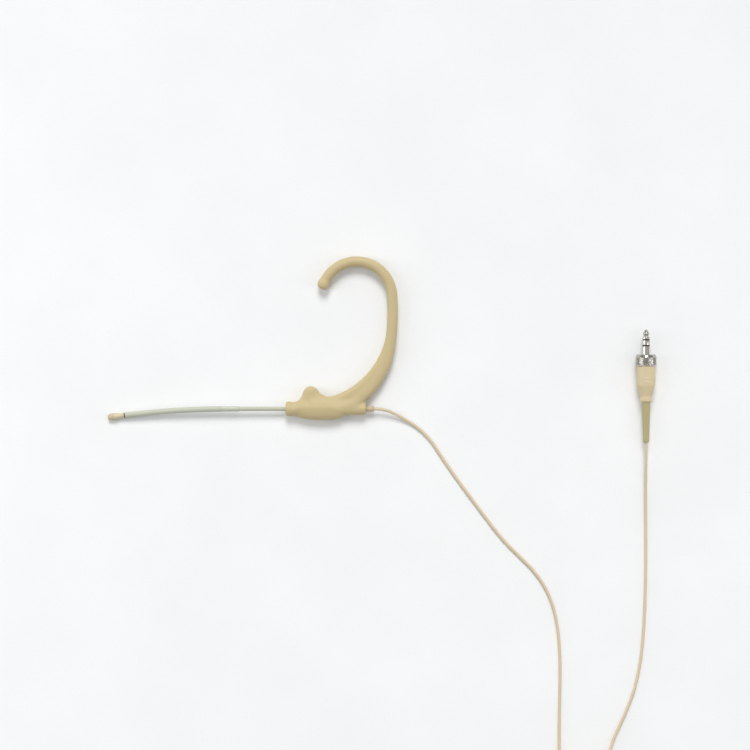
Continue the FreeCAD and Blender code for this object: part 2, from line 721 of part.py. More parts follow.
def make_conductors(axis):
    """The three wires from the cord's end to the tails of the contacts."""
    cord_end = size("cord_front")
    radius = size("conductor_radius")
    beside_ring = size("tail_radius + 2 * tail_wall + conductor_radius")
    in_sleeve = size("sleeve_tail_radius - tail_wall - conductor_radius / 2")
    wires = (
        (0.0, 0.0, size("tip_tail_end")),
        (0.35, beside_ring, size("ring_tail_end") - 0.2),
        (-0.35, -in_sleeve, size("sleeve_tail_end") + 0.05),
    )
    bars = []
    for start_x, end_x, end_z in wires:
        bars.append(bar(Vector(start_x, 0, cord_end), Vector(end_x, 0, end_z), radius))
    shaped("plug_conductors", Part.makeCompound(bars), axis)


def make_barrel_marks(axis):
    """Two small raised grip bars on the barrel, on the side that faces up."""
    front = size("lock_front + lock_length + running_gap")
    shaft = Part.makeCylinder(size("barrel_radius"), size("barrel_straight"), Vector(0, 0, front))
    width, length, reach = size("mark_width"), size("mark_length"), size("barrel_radius + mark_height")
    bars = []
    for number in range(2):
        start = front + size("mark_place") + number * size("mark_step")
        block = Part.makeBox(length, reach, width, Vector(-length / 2, 0, start))
        bars.append(block.cut(shaft))
    shaped("barrel_marks", Part.makeCompound(bars), axis)


# The cord: straight runs joined by tangent arcs, as large as the runs allow.


def rounded_path(name, points):
    """The wire through the points, each corner an arc, and a line with its radii in cord diameters."""
    places = [Vector(*point) for point in points]
    edges = []
    radii = []
    here = places[0]
    for before, corner, after in zip(places, places[1:], places[2:]):
        back, ahead = before - corner, after - corner
        half_turn = (math.pi - back.getAngle(ahead)) / 2
        reach = 0.45 * min(back.Length, ahead.Length)
        start = corner + back.normalize() * reach
        end = corner + ahead.normalize() * reach
        radius = reach / math.tan(half_turn)
        centre = corner + (back + ahead).normalize() * (radius / math.cos(half_turn))
        middle = centre + (corner - centre).normalize() * radius
        edges.append(Part.LineSegment(here, start).toShape())
        edges.append(Part.Arc(start, middle, end).toShape())
        radii.append(radius)
        here = end
    edges.append(Part.LineSegment(here, places[-1]).toShape())
    diameter = 2 * size("cord_radius")
    print(name, "radii in diameters:", " ".join(f"{radius / diameter:.1f}" for radius in radii))
    return Part.Wire(edges)


def make_cord():
    """The cord's two free stretches, the coil between them and the strap that holds it."""
    radius = size("cord_radius")
    for name, route in (("cord_lead", LEAD_ROUTE), ("cord_tail", TAIL_ROUTE)):
        path = rounded_path(name, route)
        tube = pipe(path, radius)
        full = math.pi * radius * radius * path.Length
        print(name, f"{path.Length:.1f} mm long, volume over section times length {tube.Volume / full:.4f}")
        shaped(name, tube)
    print(f"coil of {COIL_TURNS} turns: {COIL_TURNS * 2 * math.pi * size('coil_radius'):.1f} mm")
    upright = Placement(Vector(size("coil_x"), size("coil_y"), 0), Rotation())
    half = "(coil_layers * cord_radius)"
    low, high = "coil_base", f"(coil_base + 2 * {half})"
    inner, outer = f"(coil_radius - {half})", f"(coil_radius + {half})"
    corner = "cord_radius"
    turned("cord_coil", [
        (f"{inner} + {corner}", low),
        (f"{outer} - {corner}", low),
        (outer, f"{low} + {corner}", corner, -1),
        (outer, f"{high} - {corner}"),
        (f"{outer} - {corner}", high, corner, -1),
        (f"{inner} + {corner}", high),
        (inner, f"{high} - {corner}", corner, -1),
        (inner, f"{low} + {corner}"),
    ], upright)
    strap = new_body("coil_tie", upright)
    loop = new_sketch(strap, "tie_loop", "YZ_Plane")
    for extra in ("tie_gap", "(tie_gap + tie_thickness)"):
        near, far = f"-({outer} + {extra})", f"-({inner} - {extra})"
        down, up = f"({low} - {extra})", f"({high} + {extra})"
        draw(loop, [(near, down), (far, down), (far, up), (near, up)])
    pad = strap.newObject("PartDesign::Pad", "tie_pad")
    pad.Profile = loop
    pad.Midplane = True
    bound(pad, Length="tie_width")


def finish():
    """Checks every object and every shape, then writes each node's STEP file."""
    doc.recompute()
    for thing in doc.Objects:
        failed = [state for state in thing.State if state in ("Invalid", "Error")]
        if failed:
            raise RuntimeError(f"{thing.Label} is {failed}")
    for part in nodes:
        shape = part.Shape
        if shape.isNull() or not shape.isValid() or not shape.Solids:
            raise RuntimeError(f"{part.Label} has no sound shape")
    os.makedirs("parts", exist_ok=True)
    for part in nodes:
        part.Shape.exportStep(f"parts/{part.Label}.step")
    print(len(nodes), "nodes written")


fill_sheet()
sleeve_middle = Vector(size("sleeve_x"), size("sleeve_y"), size("sleeve_height"))
sleeve_axis = along(sleeve_middle, Vector(1, 0, 0))
plug_axis = along(Vector(size("plug_x"), size("plug_y"), size("lock_radius")), Vector(0, -1, 0))
boom_line = Boom()
make_hook()
make_sleeve_parts()
make_boom(boom_line, Placement(sleeve_middle, Rotation()))
make_capsule(boom_line, Placement(sleeve_middle, Rotation()))
make_cord_exit(sleeve_axis)
make_contacts(plug_axis)
make_lock_ring(plug_axis)
make_plug_body(plug_axis)
make_conductors(plug_axis)
make_barrel_marks(plug_axis)
make_cord()
finish()
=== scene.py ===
"""How the headset microphone looks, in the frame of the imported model.

The headset lies on a pale table with its ear side down, and the camera looks straight down on it.
Every piece is placed from the record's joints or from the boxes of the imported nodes. Lengths are
in millimetres, unless a name ends in _m or _M, for metres. Angles are in degrees, unless a name
ends in _RAD.
"""

import bmesh
import bpy
import json
import math
import numpy as np
from mathutils import Matrix, Vector


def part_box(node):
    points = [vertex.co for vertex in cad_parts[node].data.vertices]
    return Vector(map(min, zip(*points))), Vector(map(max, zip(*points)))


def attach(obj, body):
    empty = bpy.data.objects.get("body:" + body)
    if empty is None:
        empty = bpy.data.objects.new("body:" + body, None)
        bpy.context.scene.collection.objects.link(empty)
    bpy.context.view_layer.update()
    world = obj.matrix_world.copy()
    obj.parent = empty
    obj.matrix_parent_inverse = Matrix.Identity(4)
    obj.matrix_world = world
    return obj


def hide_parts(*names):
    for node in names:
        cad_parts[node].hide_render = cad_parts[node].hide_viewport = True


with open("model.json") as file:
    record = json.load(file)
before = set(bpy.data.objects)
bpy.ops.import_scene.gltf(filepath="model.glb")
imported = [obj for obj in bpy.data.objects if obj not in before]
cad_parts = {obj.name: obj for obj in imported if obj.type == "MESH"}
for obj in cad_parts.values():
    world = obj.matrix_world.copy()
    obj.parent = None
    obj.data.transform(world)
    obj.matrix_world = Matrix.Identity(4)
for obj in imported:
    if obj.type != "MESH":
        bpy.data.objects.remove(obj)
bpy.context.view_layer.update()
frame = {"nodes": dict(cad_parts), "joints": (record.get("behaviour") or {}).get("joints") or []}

MM = 0.001
TINY = 1e-6
JOINTS = {joint["name"]: joint for joint in frame["joints"]}
SLEEVE_M = Vector(JOINTS["hook_turn"]["pos_m"])
PLUG_TIP_M = Vector(JOINTS["lock_ring_spin"]["pos_m"])
PLUG_TIP_M.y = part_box("tip_contact")[1].y
COIL_LOW_M, COIL_HIGH_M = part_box("cord_coil")

# The camera, and the table that it sees.
CAMERA_HEIGHT_M = 1.2
CAMERA_RANGE_M = 10.0
SENSOR = 36.0
VIEW_MIDDLE_M = Vector((SLEEVE_M.x + 0.0227, SLEEVE_M.y + 0.0157))
VIEW_WIDTH_M = 0.3488
TABLE_HALF_M = 2.0
TABLE_COLOUR = (0.90, 0.905, 0.905)

# The lights: name, kind, place in metres, power, and a sun's angle or a strip's width and height.
LIGHTS = (
    ("key", "SUN", (0.05, 0.62, 0.75), 1.9, (26,)),
    ("left_strip", "AREA", (-0.7, 0.05, 0.5), 1.8, (0.2, 0.8)),
    ("right_strip", "AREA", (0.85, -0.1, 0.55), 1.2, (0.16, 0.8)),
)

# The sky's brightness at rising heights, where 0 is the horizon and 1 is straight up.
SKY_STOPS = ((0.0, 1.68), (0.14, 1.62), (0.34, 0.2), (0.8, 0.9))
SKY_TINT = (0.97, 0.985, 1.0)
SKY_STRENGTH = 0.55

# A fillet takes up no more than this share of an edge beside it.
FILLET_SHARE = 0.49

# How many sides round pieces have.
SEGMENTS = 96
BARREL_SEGMENTS = 128
CAPSULE_SEGMENTS = 72
CUTTER_SEGMENTS = 64
BOOM_SEGMENTS = 48
BAR_SEGMENTS = 16
WIRE_SEGMENTS = 8

# Mouldings and paints: darker specks where the fine noise is high, and how uneven the gloss is.
NOISE_ROUGHNESS = 0.55
SPECK_NOISE = (0.45, 0.8)
SPECK_SHARE = 0.35
SPECK_SHADE = 0.88
GLOSS_SPREAD = 0.08

# Metals: a painted highlight on sharp edges, painted shade in the hollows, and a haze that dulls
# them in patches.
METAL_GRAIN = 0.12
METAL_HAZE = 6 * METAL_GRAIN
METAL_BUMP = 0.004
EDGE_POINTINESS = (0.44, 0.53)
PAINTED_HOLLOW_SHADE = 0.62
PAINTED_EDGE_HIGHLIGHT = 1.12
HAZE_SHARE = 0.3
HAZE_SHADE = 0.86
HAZE_ROUGHNESS = (0.7, 1.35)

# The hook's silicone.
SILICONE_PATCH = 9.0
SILICONE_GRAIN = 0.16
SILICONE_BUMP = 0.012
SILICONE_SHADES = (0.95, 1.05)
SILICONE_SPECK_NOISE = (0.5, 0.85)
SILICONE_SPECK_SHARE = 0.3
SILICONE_SPECK_SHADE = 0.86
SILICONE_ROUGHNESS = (0.46, 0.62)
SILICONE_GLOW = 0.12
SILICONE_GLOW_DEPTH_M = 0.0012
SILICONE_GLOW_COLOUR = (1.0, 0.6, 0.35)
PARTING_LINE_M = (0.00003, 0.00014)
PARTING_HEIGHT = 0.05

# The strap's weave.
THREAD_ACROSS_M = 0.0004
THREAD_ALONG_M = 0.0005
WEAVE_SHADES = (0.6, 1.5)
WEAVE_BUMP = 0.08
WEAVE_ROUGHNESS = 0.8
WEAVE_SHEEN = 0.3

# The hook, from its sleeve's middle: +X runs to the rear and +Y to the crown.
SLEEVE_HALF = 18.5
SLEEVE_EDGE = 0.9
WAIST_RADIUS = 3.2
REAR_RADIUS = 2.78
COLLAR_LENGTH = 2.6
COLLAR_RADIUS = 3.35
LIP_LENGTH = 1.6
LIP_RADIUS = 1.2
SEAT_RADIUS = 1.96
CUTTER_OVERSHOOT = 1

# The swelling under the sleeve.
BELLY_MIDDLE = (-2.6, -1.25)
BELLY_RADIUS = 3.95
BELLY_FRONT = 12.5
BELLY_FRONT_POWER = 2.2
BELLY_REAR = 11.2
BELLY_REAR_POWER = 3.0
BELLY_FLATNESS = 1.11

# The rest in front of the ear lobe. Each flank is a point on it and the direction out of it.
LOBE_MIDDLE = (-7.1, 7.1)
LOBE_RADIUS = 3.4
LOBE_FRONT = ((-11.2, 6.0), (-0.866, 0.5))
LOBE_REAR = ((-2.9, 7.4), (0.627, 0.779))
LOBE_TOP = 8.2
LOBE_HALF_THICKNESS = 2.65
LOBE_EDGE = 2.3

# The arm: arcs over the crown, down the back and in at the nape, and a bulb at its tip.
ARM_RADIUS = 2.4
CROWN_MIDDLE = Vector((14.2, 51.8, 0))
CROWN_RADIUS = 16.5
CROWN_START = 158.2
CROWN_END = 3.5
BACK_RADIUS = 120.0
BACK_END = -7.7
NAPE_RADIUS = 38.6
NAPE_END = -57.5
TIP_RADIUS = 2.68
TIP_SHIFT = 0.2
TIP_HALF_LENGTH = 2.25
TIP_EDGE = 1.9

# The web between the arm and the sleeve. It and the rest end at ROOT, inside the sleeve.
WEB_MIDDLE = Vector((-8.5, 41.05, 0))
WEB_RADIUS = 37.0
WEB_HALF_THICKNESS = 2.3
WEB_EDGE = WEB_HALF_THICKNESS - 0.1
WEB_FRONT = -6.9
WEB_TOP = 38.0
ROOT = -1.0

# How near two of the hook's shapes come before a fillet joins them. The arm's reach grows by
# ARM_MELT_GAIN over a run downwards from ARM_MELT_TOP.
BELLY_MELT = 1.2
LOBE_TOP_MELT = 1.2
LOBE_MELT = 2.4
WEB_MELT = 3.0
COLLAR_MELT = 0.7
TIP_MELT = 0.8
ARM_MELT = 0.2
ARM_MELT_GAIN = 1.4
ARM_MELT_TOP = WEB_TOP - 2
ARM_MELT_RUN = 18

# The grid on which the hook is worked out.
GRID_LOW = (-19.6, -6.6, -4.4)
GRID_HIGH = (36.0, 72.2, 4.4)
GRID_PITCH = 0.25
RELAX_ROUNDS = 3
HOOK_SMOOTH_ANGLE = 50

# The boom, from the same point: straight, then bent towards the jaw and down to the table.
TUBE_REAR = 19.4
TUBE_STRAIGHT = 64.0
TUBE_RADIUS = 1.0
TUBE_BORE = 0.75
BEND_RADIUS = 335.0
BEND_RAD = math.radians(8.35)
BEND_ROLL_RAD = math.radians(32.5)
BEND_LENGTH = BEND_RADIUS * BEND_RAD
BEND_SIDE = Vector((0, -math.cos(BEND_ROLL_RAD), -math.sin(BEND_ROLL_RAD)))
BEND_ACROSS = Vector((0, math.sin(BEND_ROLL_RAD), -math.cos(BEND_ROLL_RAD)))
KNEE = Vector((TUBE_REAR - TUBE_STRAIGHT, 0, 0))
BOOM_LENGTH = BEND_LENGTH + TUBE_STRAIGHT
BOOM_STEP = 1.0
SHEATH_RADIUS = 1.28
SHEATH_END = BEND_LENGTH - 3.6
CLEAR_RADIUS = 1.3
CLEAR_END = BEND_LENGTH + 4.6

# The cord.
CORD_RADIUS = 0.7
CORD_HOLE = CORD_RADIUS + 0.02
COIL_TURNS = 15.5
COIL_LANES = 4
COIL_STEPS = 24
LANE_CHANGE = 0.75

# The cord's route, as in the CAD model: from the boom to the coil, and from there to the plug.
LEAD_ROUTE_M = [
    (0.056309, -0.0328, 0.0040), (0.0601, -0.03285, 0.00398), (0.0645, -0.0343, 0.0032),
    (0.0700, -0.0373, 0.0017), (0.0764, -0.0412, 0.00085), (0.0826, -0.0472, 0.0007),
    (0.0879, -0.0555, 0.0007), (0.0962, -0.0674, 0.0007), (0.1059, -0.0804, 0.0007),
    (0.1154, -0.0930, 0.0007), (0.1236, -0.1012, 0.0007), (0.1320, -0.1094, 0.0007),
    (0.1386, -0.1206, 0.0007), (0.1420, -0.1350, 0.0007), (0.1429, -0.1510, 0.0007),
    (0.1426, -0.1680, 0.0007), (0.1423, -0.1830, 0.0008), (0.1425, -0.1960, 0.00115),
]
TAIL_ROUTE_M = [
    (0.1639, -0.2005, 0.0049), (0.1651, -0.1928, 0.0029), (0.1682, -0.1844, 0.0012),
    (0.1729, -0.1750, 0.0007), (0.1776, -0.1630, 0.0007), (0.1806, -0.1485, 0.0007),
    (0.1820, -0.1310, 0.0007), (0.1826, -0.1120, 0.0007), (0.1827, -0.0930, 0.0007),
    (0.1825, -0.0780, 0.0012), (0.1823, -0.0660, 0.0032), (0.18229, -0.0564, 0.00483),
    (0.1823, -0.0486, 0.00488),
]

# The strap round the coil: a loop with round corners, whose end lies over its start from
# TIE_LAP_START on, in quarter turns.
TIE_INSIDE = 2.94
TIE_CORNER = 0.9
TIE_CORNER_STEPS = 6
TIE_THICKNESS = 0.24
TIE_BEVEL_WIDTH = 0.1
TIE_BEVEL_DEPTH = 0.06
TIE_LAP_LIFT = 0.27
TIE_LAP_START = 3.2

# Outlines of round pieces: corners as (radius, station) or (radius, station, fillet radius).
# Along the boom, stations run backwards from its front end.
TUBE_OUTLINE = [
    (TUBE_BORE, 0), (TUBE_RADIUS, 0), (TUBE_RADIUS, BOOM_LENGTH, 0.1), (TUBE_BORE, BOOM_LENGTH),
]
SHEATH_OUTLINE = [
    (TUBE_RADIUS, 0.02), (SHEATH_RADIUS - 0.02, 0.02, 0.08), (SHEATH_RADIUS + 0.01, 0.8, 0.8),
    (SHEATH_RADIUS, 2.6, 1.5), (SHEATH_RADIUS, SHEATH_END - 0.25, 0.2),
    (SHEATH_RADIUS - 0.12, SHEATH_END, 0.05), (TUBE_RADIUS, SHEATH_END),
]
CLEAR_OUTLINE = [
    (TUBE_RADIUS + 0.01, SHEATH_END + 0.02), (CLEAR_RADIUS - 0.02, SHEATH_END + 0.02, 0.06),
    (CLEAR_RADIUS, SHEATH_END + 0.8, 0.5), (CLEAR_RADIUS - 0.04, CLEAR_END - 1.6, 1.0),
    (CLEAR_RADIUS - 0.2, CLEAR_END - 0.1, 0.3), (TUBE_RADIUS + 0.01, CLEAR_END),
]

# The capsule's stations run forwards from the boom's front end.
CAN_RADIUS = 1.22
GASKET_OUTLINE = [
    (TUBE_BORE, 0.02), (CAN_RADIUS, 0.02, 0.12), (CAN_RADIUS, 0.46, 0.12), (TUBE_BORE, 0.46),
]
HOUSING_OUTLINE = [
    (TUBE_BORE, 0.5), (1.04, 0.5, 0.08), (1.04, 1.9, 1.2), (1.36, 3.3, 1.4), (1.6, 4.4, 1.6),
    (1.65, 5.33, 0.06), (CAN_RADIUS, 5.33), (CAN_RADIUS, 4.05), (TUBE_BORE, 4.05),
]
CAP_OUTLINE = [
    (CAN_RADIUS, 5.4), (1.62, 5.4, 0.06), (1.645, 6.2, 1.0), (1.45, 7.4, 0.9), (1.0, 8.06, 0.35),
    (0.66, 8.08, 0.12), (0.55, 7.9), (0.55, 6.95), (CAN_RADIUS, 6.95),
]
MESH_RIM_OUTLINE = [(0.9, 6.8), (1.19, 6.8, 0.03), (1.19, 6.9, 0.03), (0.9, 6.9)]
MESH_STATION = 6.85
MESH_REACH = 0.93
MESH_PITCH = 0.16
MESH_SIDE_WIRES = 5
MESH_WIRE_RADIUS = 0.035
MESH_WIRE_LIFT = MESH_WIRE_RADIUS * 0.6

# The small strain relief's stations run backwards from the sleeve's middle.
BOOM_RELIEF_OUTLINE = [
    (TUBE_RADIUS, 18.65), (1.45, 18.65, 0.12), (1.45, 18.96, 0.06), (1.2, 19.0, 0.03),
    (1.2, 19.24, 0.03), (1.4, 19.3, 0.1), (1.37, 21.38, 0.08), (1.16, 21.44, 0.03),
    (1.16, 21.7, 0.03), (1.43, 21.76, 0.06), (1.38, 22.1, 0.12), (1.0, 22.24, 0.1),
    (CORD_HOLE, 22.24), (CORD_HOLE, TUBE_REAR), (TUBE_RADIUS, TUBE_REAR),
]

# The plug's stations run backwards from its tip. Its contacts are nested tubes.
SHANK_RADIUS = 1.75
BAND_RADIUS = 1.69
JACK_OUTLINES = {
    "tip_contact": [
        (0, 0.0), (0.42, 0.04, 0.3), (0.95, 0.75, 0.5), (1.5, 1.7, 0.5), (1.5, 2.05, 0.35),
        (1.2, 2.95, 0.3), (1.2, 3.2, 0.2), (1.72, 3.72, 0.12), (SHANK_RADIUS, 4.48, 0.05),
        (0.6, 4.48), (0.6, 20.5), (0, 20.5),
    ],
    "tip_insulator": [
        (0.6, 4.5), (BAND_RADIUS, 4.5), (BAND_RADIUS, 5.1), (0.85, 5.1), (0.85, 19.6), (0.6, 19.6),
    ],
    "ring_contact": [
        (0.85, 5.12), (SHANK_RADIUS, 5.12, 0.05), (SHANK_RADIUS, 7.18, 0.05), (1.1, 7.18),
        (1.1, 18.8), (0.85, 18.8),
    ],
    "ring_insulator": [
        (1.1, 7.2), (BAND_RADIUS, 7.2), (BAND_RADIUS, 7.9), (1.35, 7.9), (1.35, 18.2), (1.1, 18.2),
    ],
    "sleeve_contact": [
        (1.35, 7.92), (SHANK_RADIUS, 7.92, 0.05), (SHANK_RADIUS, 14.2, 0.1), (3.05, 14.2, 0.12),
        (3.05, 14.9, 0.12), (2.5, 14.9, 0.05), (2.5, 17.0), (2.0, 17.0), (2.0, 17.6), (1.35, 17.6),
    ],
}

# The locking ring: its front, the knurl, its rear, and the thread in its bore.
KNURL_RADIUS = 4.88
KNURL_INNER = 4.7
KNURL_START = 12.95
KNURL_END = 16.6
KNURL_COUNT = 30
KNURL_SEGMENTS = 20 * KNURL_COUNT
KNURL_STEPS = 64
KNURL_DEPTH = 0.25
KNURL_SHARPNESS = 1.35
KNURL_POWER = 1.3
KNURL_MARGIN = 0.05
KNURL_FADE = 0.25
RING_FRONT_OUTLINE = [
    (3.6, 11.95, 0.1), (3.9, 11.62, 0.15), (4.3, 11.6, 0.2), (4.62, 12.1, 0.5),
    (4.76, 12.75, 0.3), (KNURL_RADIUS, KNURL_START),
]
RING_REAR_OUTLINE = [
    (4.84, 16.72), (4.62, 16.9, 0.1), (2.6, 16.9, 0.05), (2.6, 15.0), (3.6, 15.0),
]
RING_SMOOTH_ANGLE = 28
THREAD_START = 12.0
THREAD_PITCH = 0.75
THREAD_TURNS = 3.6
THREAD_STEPS = 72
THREAD_FADE_STEPS = 24
THREAD_ROOT = 3.62
THREAD_CREST = 3.32
THREAD_HALF_ROOT = 0.3
THREAD_HALF_CREST = 0.05
THREAD_LEAST = 0.02

# The barrel with its two bars, and the plug's strain relief.
BARREL_RADIUS = 4.35
BARREL_OUTLINE = [
    (2.0, 17.02), (4.22, 17.02, 0.12), (BARREL_RADIUS, 17.4, 0.3), (4.33, 22.0, 6.0),
    (4.22, 26.0, 5.0), (3.9, 27.1, 1.5), (2.84, 30.7, 1.2), (2.75, 31.1, 0.4), (2.85, 31.5, 0.4),
    (2.84, 33.2, 0.6), (2.3, 33.78, 0.4), (1.96, 33.8), (1.96, 29.2), (3.3, 27.5), (3.3, 17.6),
    (2.0, 17.6),
]
BAR_HALF_WIDTH = 0.14
BAR_SINK = 0.09
BAR_FLATNESS = 0.6
BAR_POWER = 6
BAR_STEPS = 12
PLUG_RELIEF_OUTLINE = [
    (CORD_HOLE, 29.2), (1.95, 29.2), (1.95, 34.0, 3.0), (1.5, 49.5, 8.0), (1.44, 51.6, 0.5),
    (1.05, 52.58, 0.35), (CORD_HOLE, 52.6),
]


# Camera, table and light.


def make_camera():
    """The camera, straight above the middle of the view."""
    camera = bpy.data.cameras.new("camera")
    camera.sensor_width = SENSOR
    camera.lens = SENSOR * CAMERA_HEIGHT_M / VIEW_WIDTH_M
    camera.clip_end = CAMERA_RANGE_M
    holder = bpy.data.objects.new("camera", camera)
    holder.location = (VIEW_MIDDLE_M.x, VIEW_MIDDLE_M.y, CAMERA_HEIGHT_M)
    bpy.context.scene.collection.objects.link(holder)
    bpy.context.scene.camera = holder


def make_lights():
    """The lights, each aimed at the middle of the view."""
    middle = Vector((VIEW_MIDDLE_M.x, VIEW_MIDDLE_M.y, 0))
    for name, kind, place, power, sizes in LIGHTS:
        light = bpy.data.lights.new(name, kind)
        light.energy = power
        if kind == "SUN":
            light.angle = math.radians(sizes[0])
        else:
            light.shape = "RECTANGLE"
            light.size, light.size_y = sizes
        holder = bpy.data.objects.new(name, light)
        holder.location = place
        holder.rotation_euler = (middle - Vector(place)).to_track_quat("-Z", "Y").to_euler()
        bpy.context.scene.collection.objects.link(holder)


def make_sky():
    """A studio's surroundings: bright walls with a dark band above them, and a soft ceiling."""
    world = bpy.data.worlds.new("studio")
    world.use_nodes = True
    nodes, links = world.node_tree.nodes, world.node_tree.links
    direction = nodes.new("ShaderNodeTexCoord").outputs["Generated"]
    parts = nodes.new("ShaderNodeSeparateXYZ")
    links.new(direction, parts.inputs[0])
    ramp = nodes.new("ShaderNodeValToRGB")
    stops = ramp.color_ramp.elements
    stops[0].position, stops[1].position = SKY_STOPS[0][0], SKY_STOPS[-1][0]
    for height, _ in SKY_STOPS[1:-1]:
        stops.new(height)
    for stop, (_, brightness) in zip(stops, SKY_STOPS):
        stop.color = (*(brightness * channel for channel in SKY_TINT), 1)
    links.new(parts.outputs["Z"], ramp.inputs["Fac"])
    links.new(ramp.outputs["Color"], nodes["Background"].inputs["Color"])
    nodes["Background"].inputs["Strength"].default_value = SKY_STRENGTH
    bpy.context.scene.world = world
    bpy.context.scene.view_settings.view_transform = "Standard"


def make_table():
    """The table top, which is only stage."""
    bm = bmesh.new()
    bmesh.ops.create_grid(bm, x_segments=1, y_segments=1, size=TABLE_HALF_M)
    table = new_piece("table", bm)
    paint(table.data, surface("table_paint", TABLE_COLOUR, 0.6, patch=60, grain=0.8, bump=0.01))


# Mesh tools.


def new_piece(name, bm, smooth_angle=35):
    """Turns a bmesh into an object, shaded smooth except at its sharp edges."""
    bmesh.ops.recalc_face_normals(bm, faces=bm.faces)
    mesh = bpy.data.meshes.new(name)
    bm.to_mesh(mesh)
    bm.free()
    mesh.shade_smooth()
    mesh.set_sharp_from_angle(angle=math.radians(smooth_angle))
    piece = bpy.data.objects.new(name, mesh)
    bpy.context.scene.collection.objects.link(piece)
    return piece


def paint(mesh, material):
    """Makes a material the only one on a mesh or a curve."""
    mesh.materials.clear()
    mesh.materials.append(material)


def dress(piece, material, slot, *nodes, body="microphone"):
    """Gives a piece its material and its body, and hides the nodes that it stands for; the slot is
    not used.
    """
    paint(piece.data, material)
    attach(piece, body)
    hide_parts(*nodes)
    return piece


def rounded(corners, steps=6):
    """The points of a closed outline, with each fillet drawn as a curve in that many steps."""
    points = []
    for number, corner in enumerate(corners):
        here = Vector(corner[:2])
        if len(corner) == 2:
            points.append(here)
            continue
        before = Vector(corners[number - 1][:2]) - here
        after = Vector(corners[(number + 1) % len(corners)][:2]) - here
        half = before.angle(after) / 2
        reach = corner[2] / math.tan(half)
        reach = min(reach, FILLET_SHARE * min(before.length, after.length))
        start, end = here + before.normalized() * reach, here + after.normalized() * reach
        for step in range(steps + 1):
            share = step / steps
            curve = start * (1 - share) ** 2 + here * 2 * share * (1 - share) + end * share ** 2
            points.append(curve)
    return points


def axis_place(base_m, direction):
    """The matrix from millimetres to metres that puts the origin at base_m and Z along a line."""
    turn = Vector(direction).to_track_quat("Z", "Y").to_matrix().to_4x4()
    return Matrix.Translation(base_m) @ turn @ Matrix.Scale(MM, 4)


def bridge(bm, rings, closed):
    """Joins rings of vertices with quads; a ring of one vertex is a pole."""
    pairs = zip(rings, rings[1:] + rings[:1]) if closed else zip(rings, rings[1:])
    for first, second in pairs:
        count = max(len(first), len(second))
        for step in range(count):
            after = (step + 1) % count
            corners = [first[step % len(first)], first[after % len(first)]]
            corners += [second[after % len(second)], second[step % len(second)]]
            unique = [v for number, v in enumerate(corners) if v not in corners[:number]]
            if len(unique) > 2:
                bm.faces.new(unique)


def turn_outline(bm, outline, place, segments, shape=None):
    """Turns an outline about the place's Z axis; shape may change a radius round the turn."""
    rings = []
    for radius, station in outline:
        if radius < TINY:
            rings.append([bm.verts.new(place @ Vector((0, 0, station)))])
            continue
        ring = []
        for step in range(segments):
            angle = 2 * math.pi * step / segments
            reach = shape(angle, radius, station) if shape else radius
            spot = Vector((reach * math.cos(angle), reach * math.sin(angle), station))
            ring.append(bm.verts.new(place @ spot))
        rings.append(ring)
    bridge(bm, rings, closed=len(rings[0]) > 1)


def lathe(name, corners, place, segments=SEGMENTS, steps=6):
    """A round piece turned from an outline's corners."""
    bm = bmesh.new()
    turn_outline(bm, rounded(corners, steps), place, segments)
    return new_piece(name, bm)


def sweep(bm, stations, segments):
    """A closed bar through stations, each (middle, side, up, half width, half height)."""
    rings = []
    for middle, side, up, width, height in stations:
        if width < TINY:
            rings.append([bm.verts.new(middle)])
            continue
        turns = [2 * math.pi * step / segments for step in range(segments)]
        rings.append([
            bm.verts.new(middle + side * width * math.cos(turn) + up * height * math.sin(turn))
            for turn in turns
        ])
    bridge(bm, rings, closed=False)


# Materials. Every pattern is procedural and uses the piece's own coordinates.


class Shader:
    """A material's node tree, with short ways to add and join nodes."""

    def __init__(self, name):
        self.material = bpy.data.materials.new(name)
        self.material.use_nodes = True
        self.nodes = self.material.node_tree.nodes
        self.bsdf = self.nodes["Principled BSDF"]
        self.place = self.add("ShaderNodeTexCoord").outputs["Object"]

    def add(self, kind, inputs=None, **settings):
        """A new node; an input is a value or another node's output."""
        node = self.nodes.new(kind)
        for name, value in settings.items():
            setattr(node, name, value)
        for name, value in (inputs or {}).items():
            if isinstance(value, bpy.types.NodeSocket):
                self.material.node_tree.links.new(value, node.inputs[name])
            else:
                node.inputs[name].default_value = value
        return node

    def link(self, socket, name):
        self.material.node_tree.links.new(socket, self.bsdf.inputs[name])

    def set(self, **values):
        """Sets the main shader's inputs by name, with an underscore for each space."""
        for name, value in values.items():
            self.bsdf.inputs[name.replace("_", " ")].default_value = value

    def noise(self, size, detail=3.0):
        """Noise whose patches are about that many millimetres across."""
        inputs = {"Vector": self.place, "Scale": 1 / (size * MM), "Detail": detail}
        inputs["Roughness"] = NOISE_ROUGHNESS
        return self.add("ShaderNodeTexNoise", inputs).outputs["Fac"]

    def ramp(self, value, low, high, start=0.0, end=1.0):
        """Maps start..end to low..high."""
        inputs = {
            "Value": value, "From Min": start, "From Max": end, "To Min": low, "To Max": high,
        }
        return self.add("ShaderNodeMapRange", inputs).outputs["Result"]

    def blend(self, factor, first, second):
        """Mixes two colours; the numbers are the node's own sockets for colours."""
        inputs = {0: factor}
        for number, value in ((6, first), (7, second)):
            inputs[number] = (*value, 1) if isinstance(value, tuple) else value
        return self.add("ShaderNodeMix", inputs, data_type="RGBA").outputs[2]

    def math(self, operation, first, second=0.0):
        inputs = {0: first, 1: second}
        return self.add("ShaderNodeMath", inputs, operation=operation).outputs[0]

    def bump(self, height, depth, under=None):
        """Raises the surface by height times depth millimetres, on top of another bump."""
        inputs = {"Height": height, "Strength": 1.0, "Distance": depth * MM}
        if under:
            inputs["Normal"] = under
        return self.add("ShaderNodeBump", inputs).outputs["Normal"]


def tint(colour, share):
    """A colour made darker or lighter by a share."""
    return tuple(min(1.0, channel * share) for channel in colour)


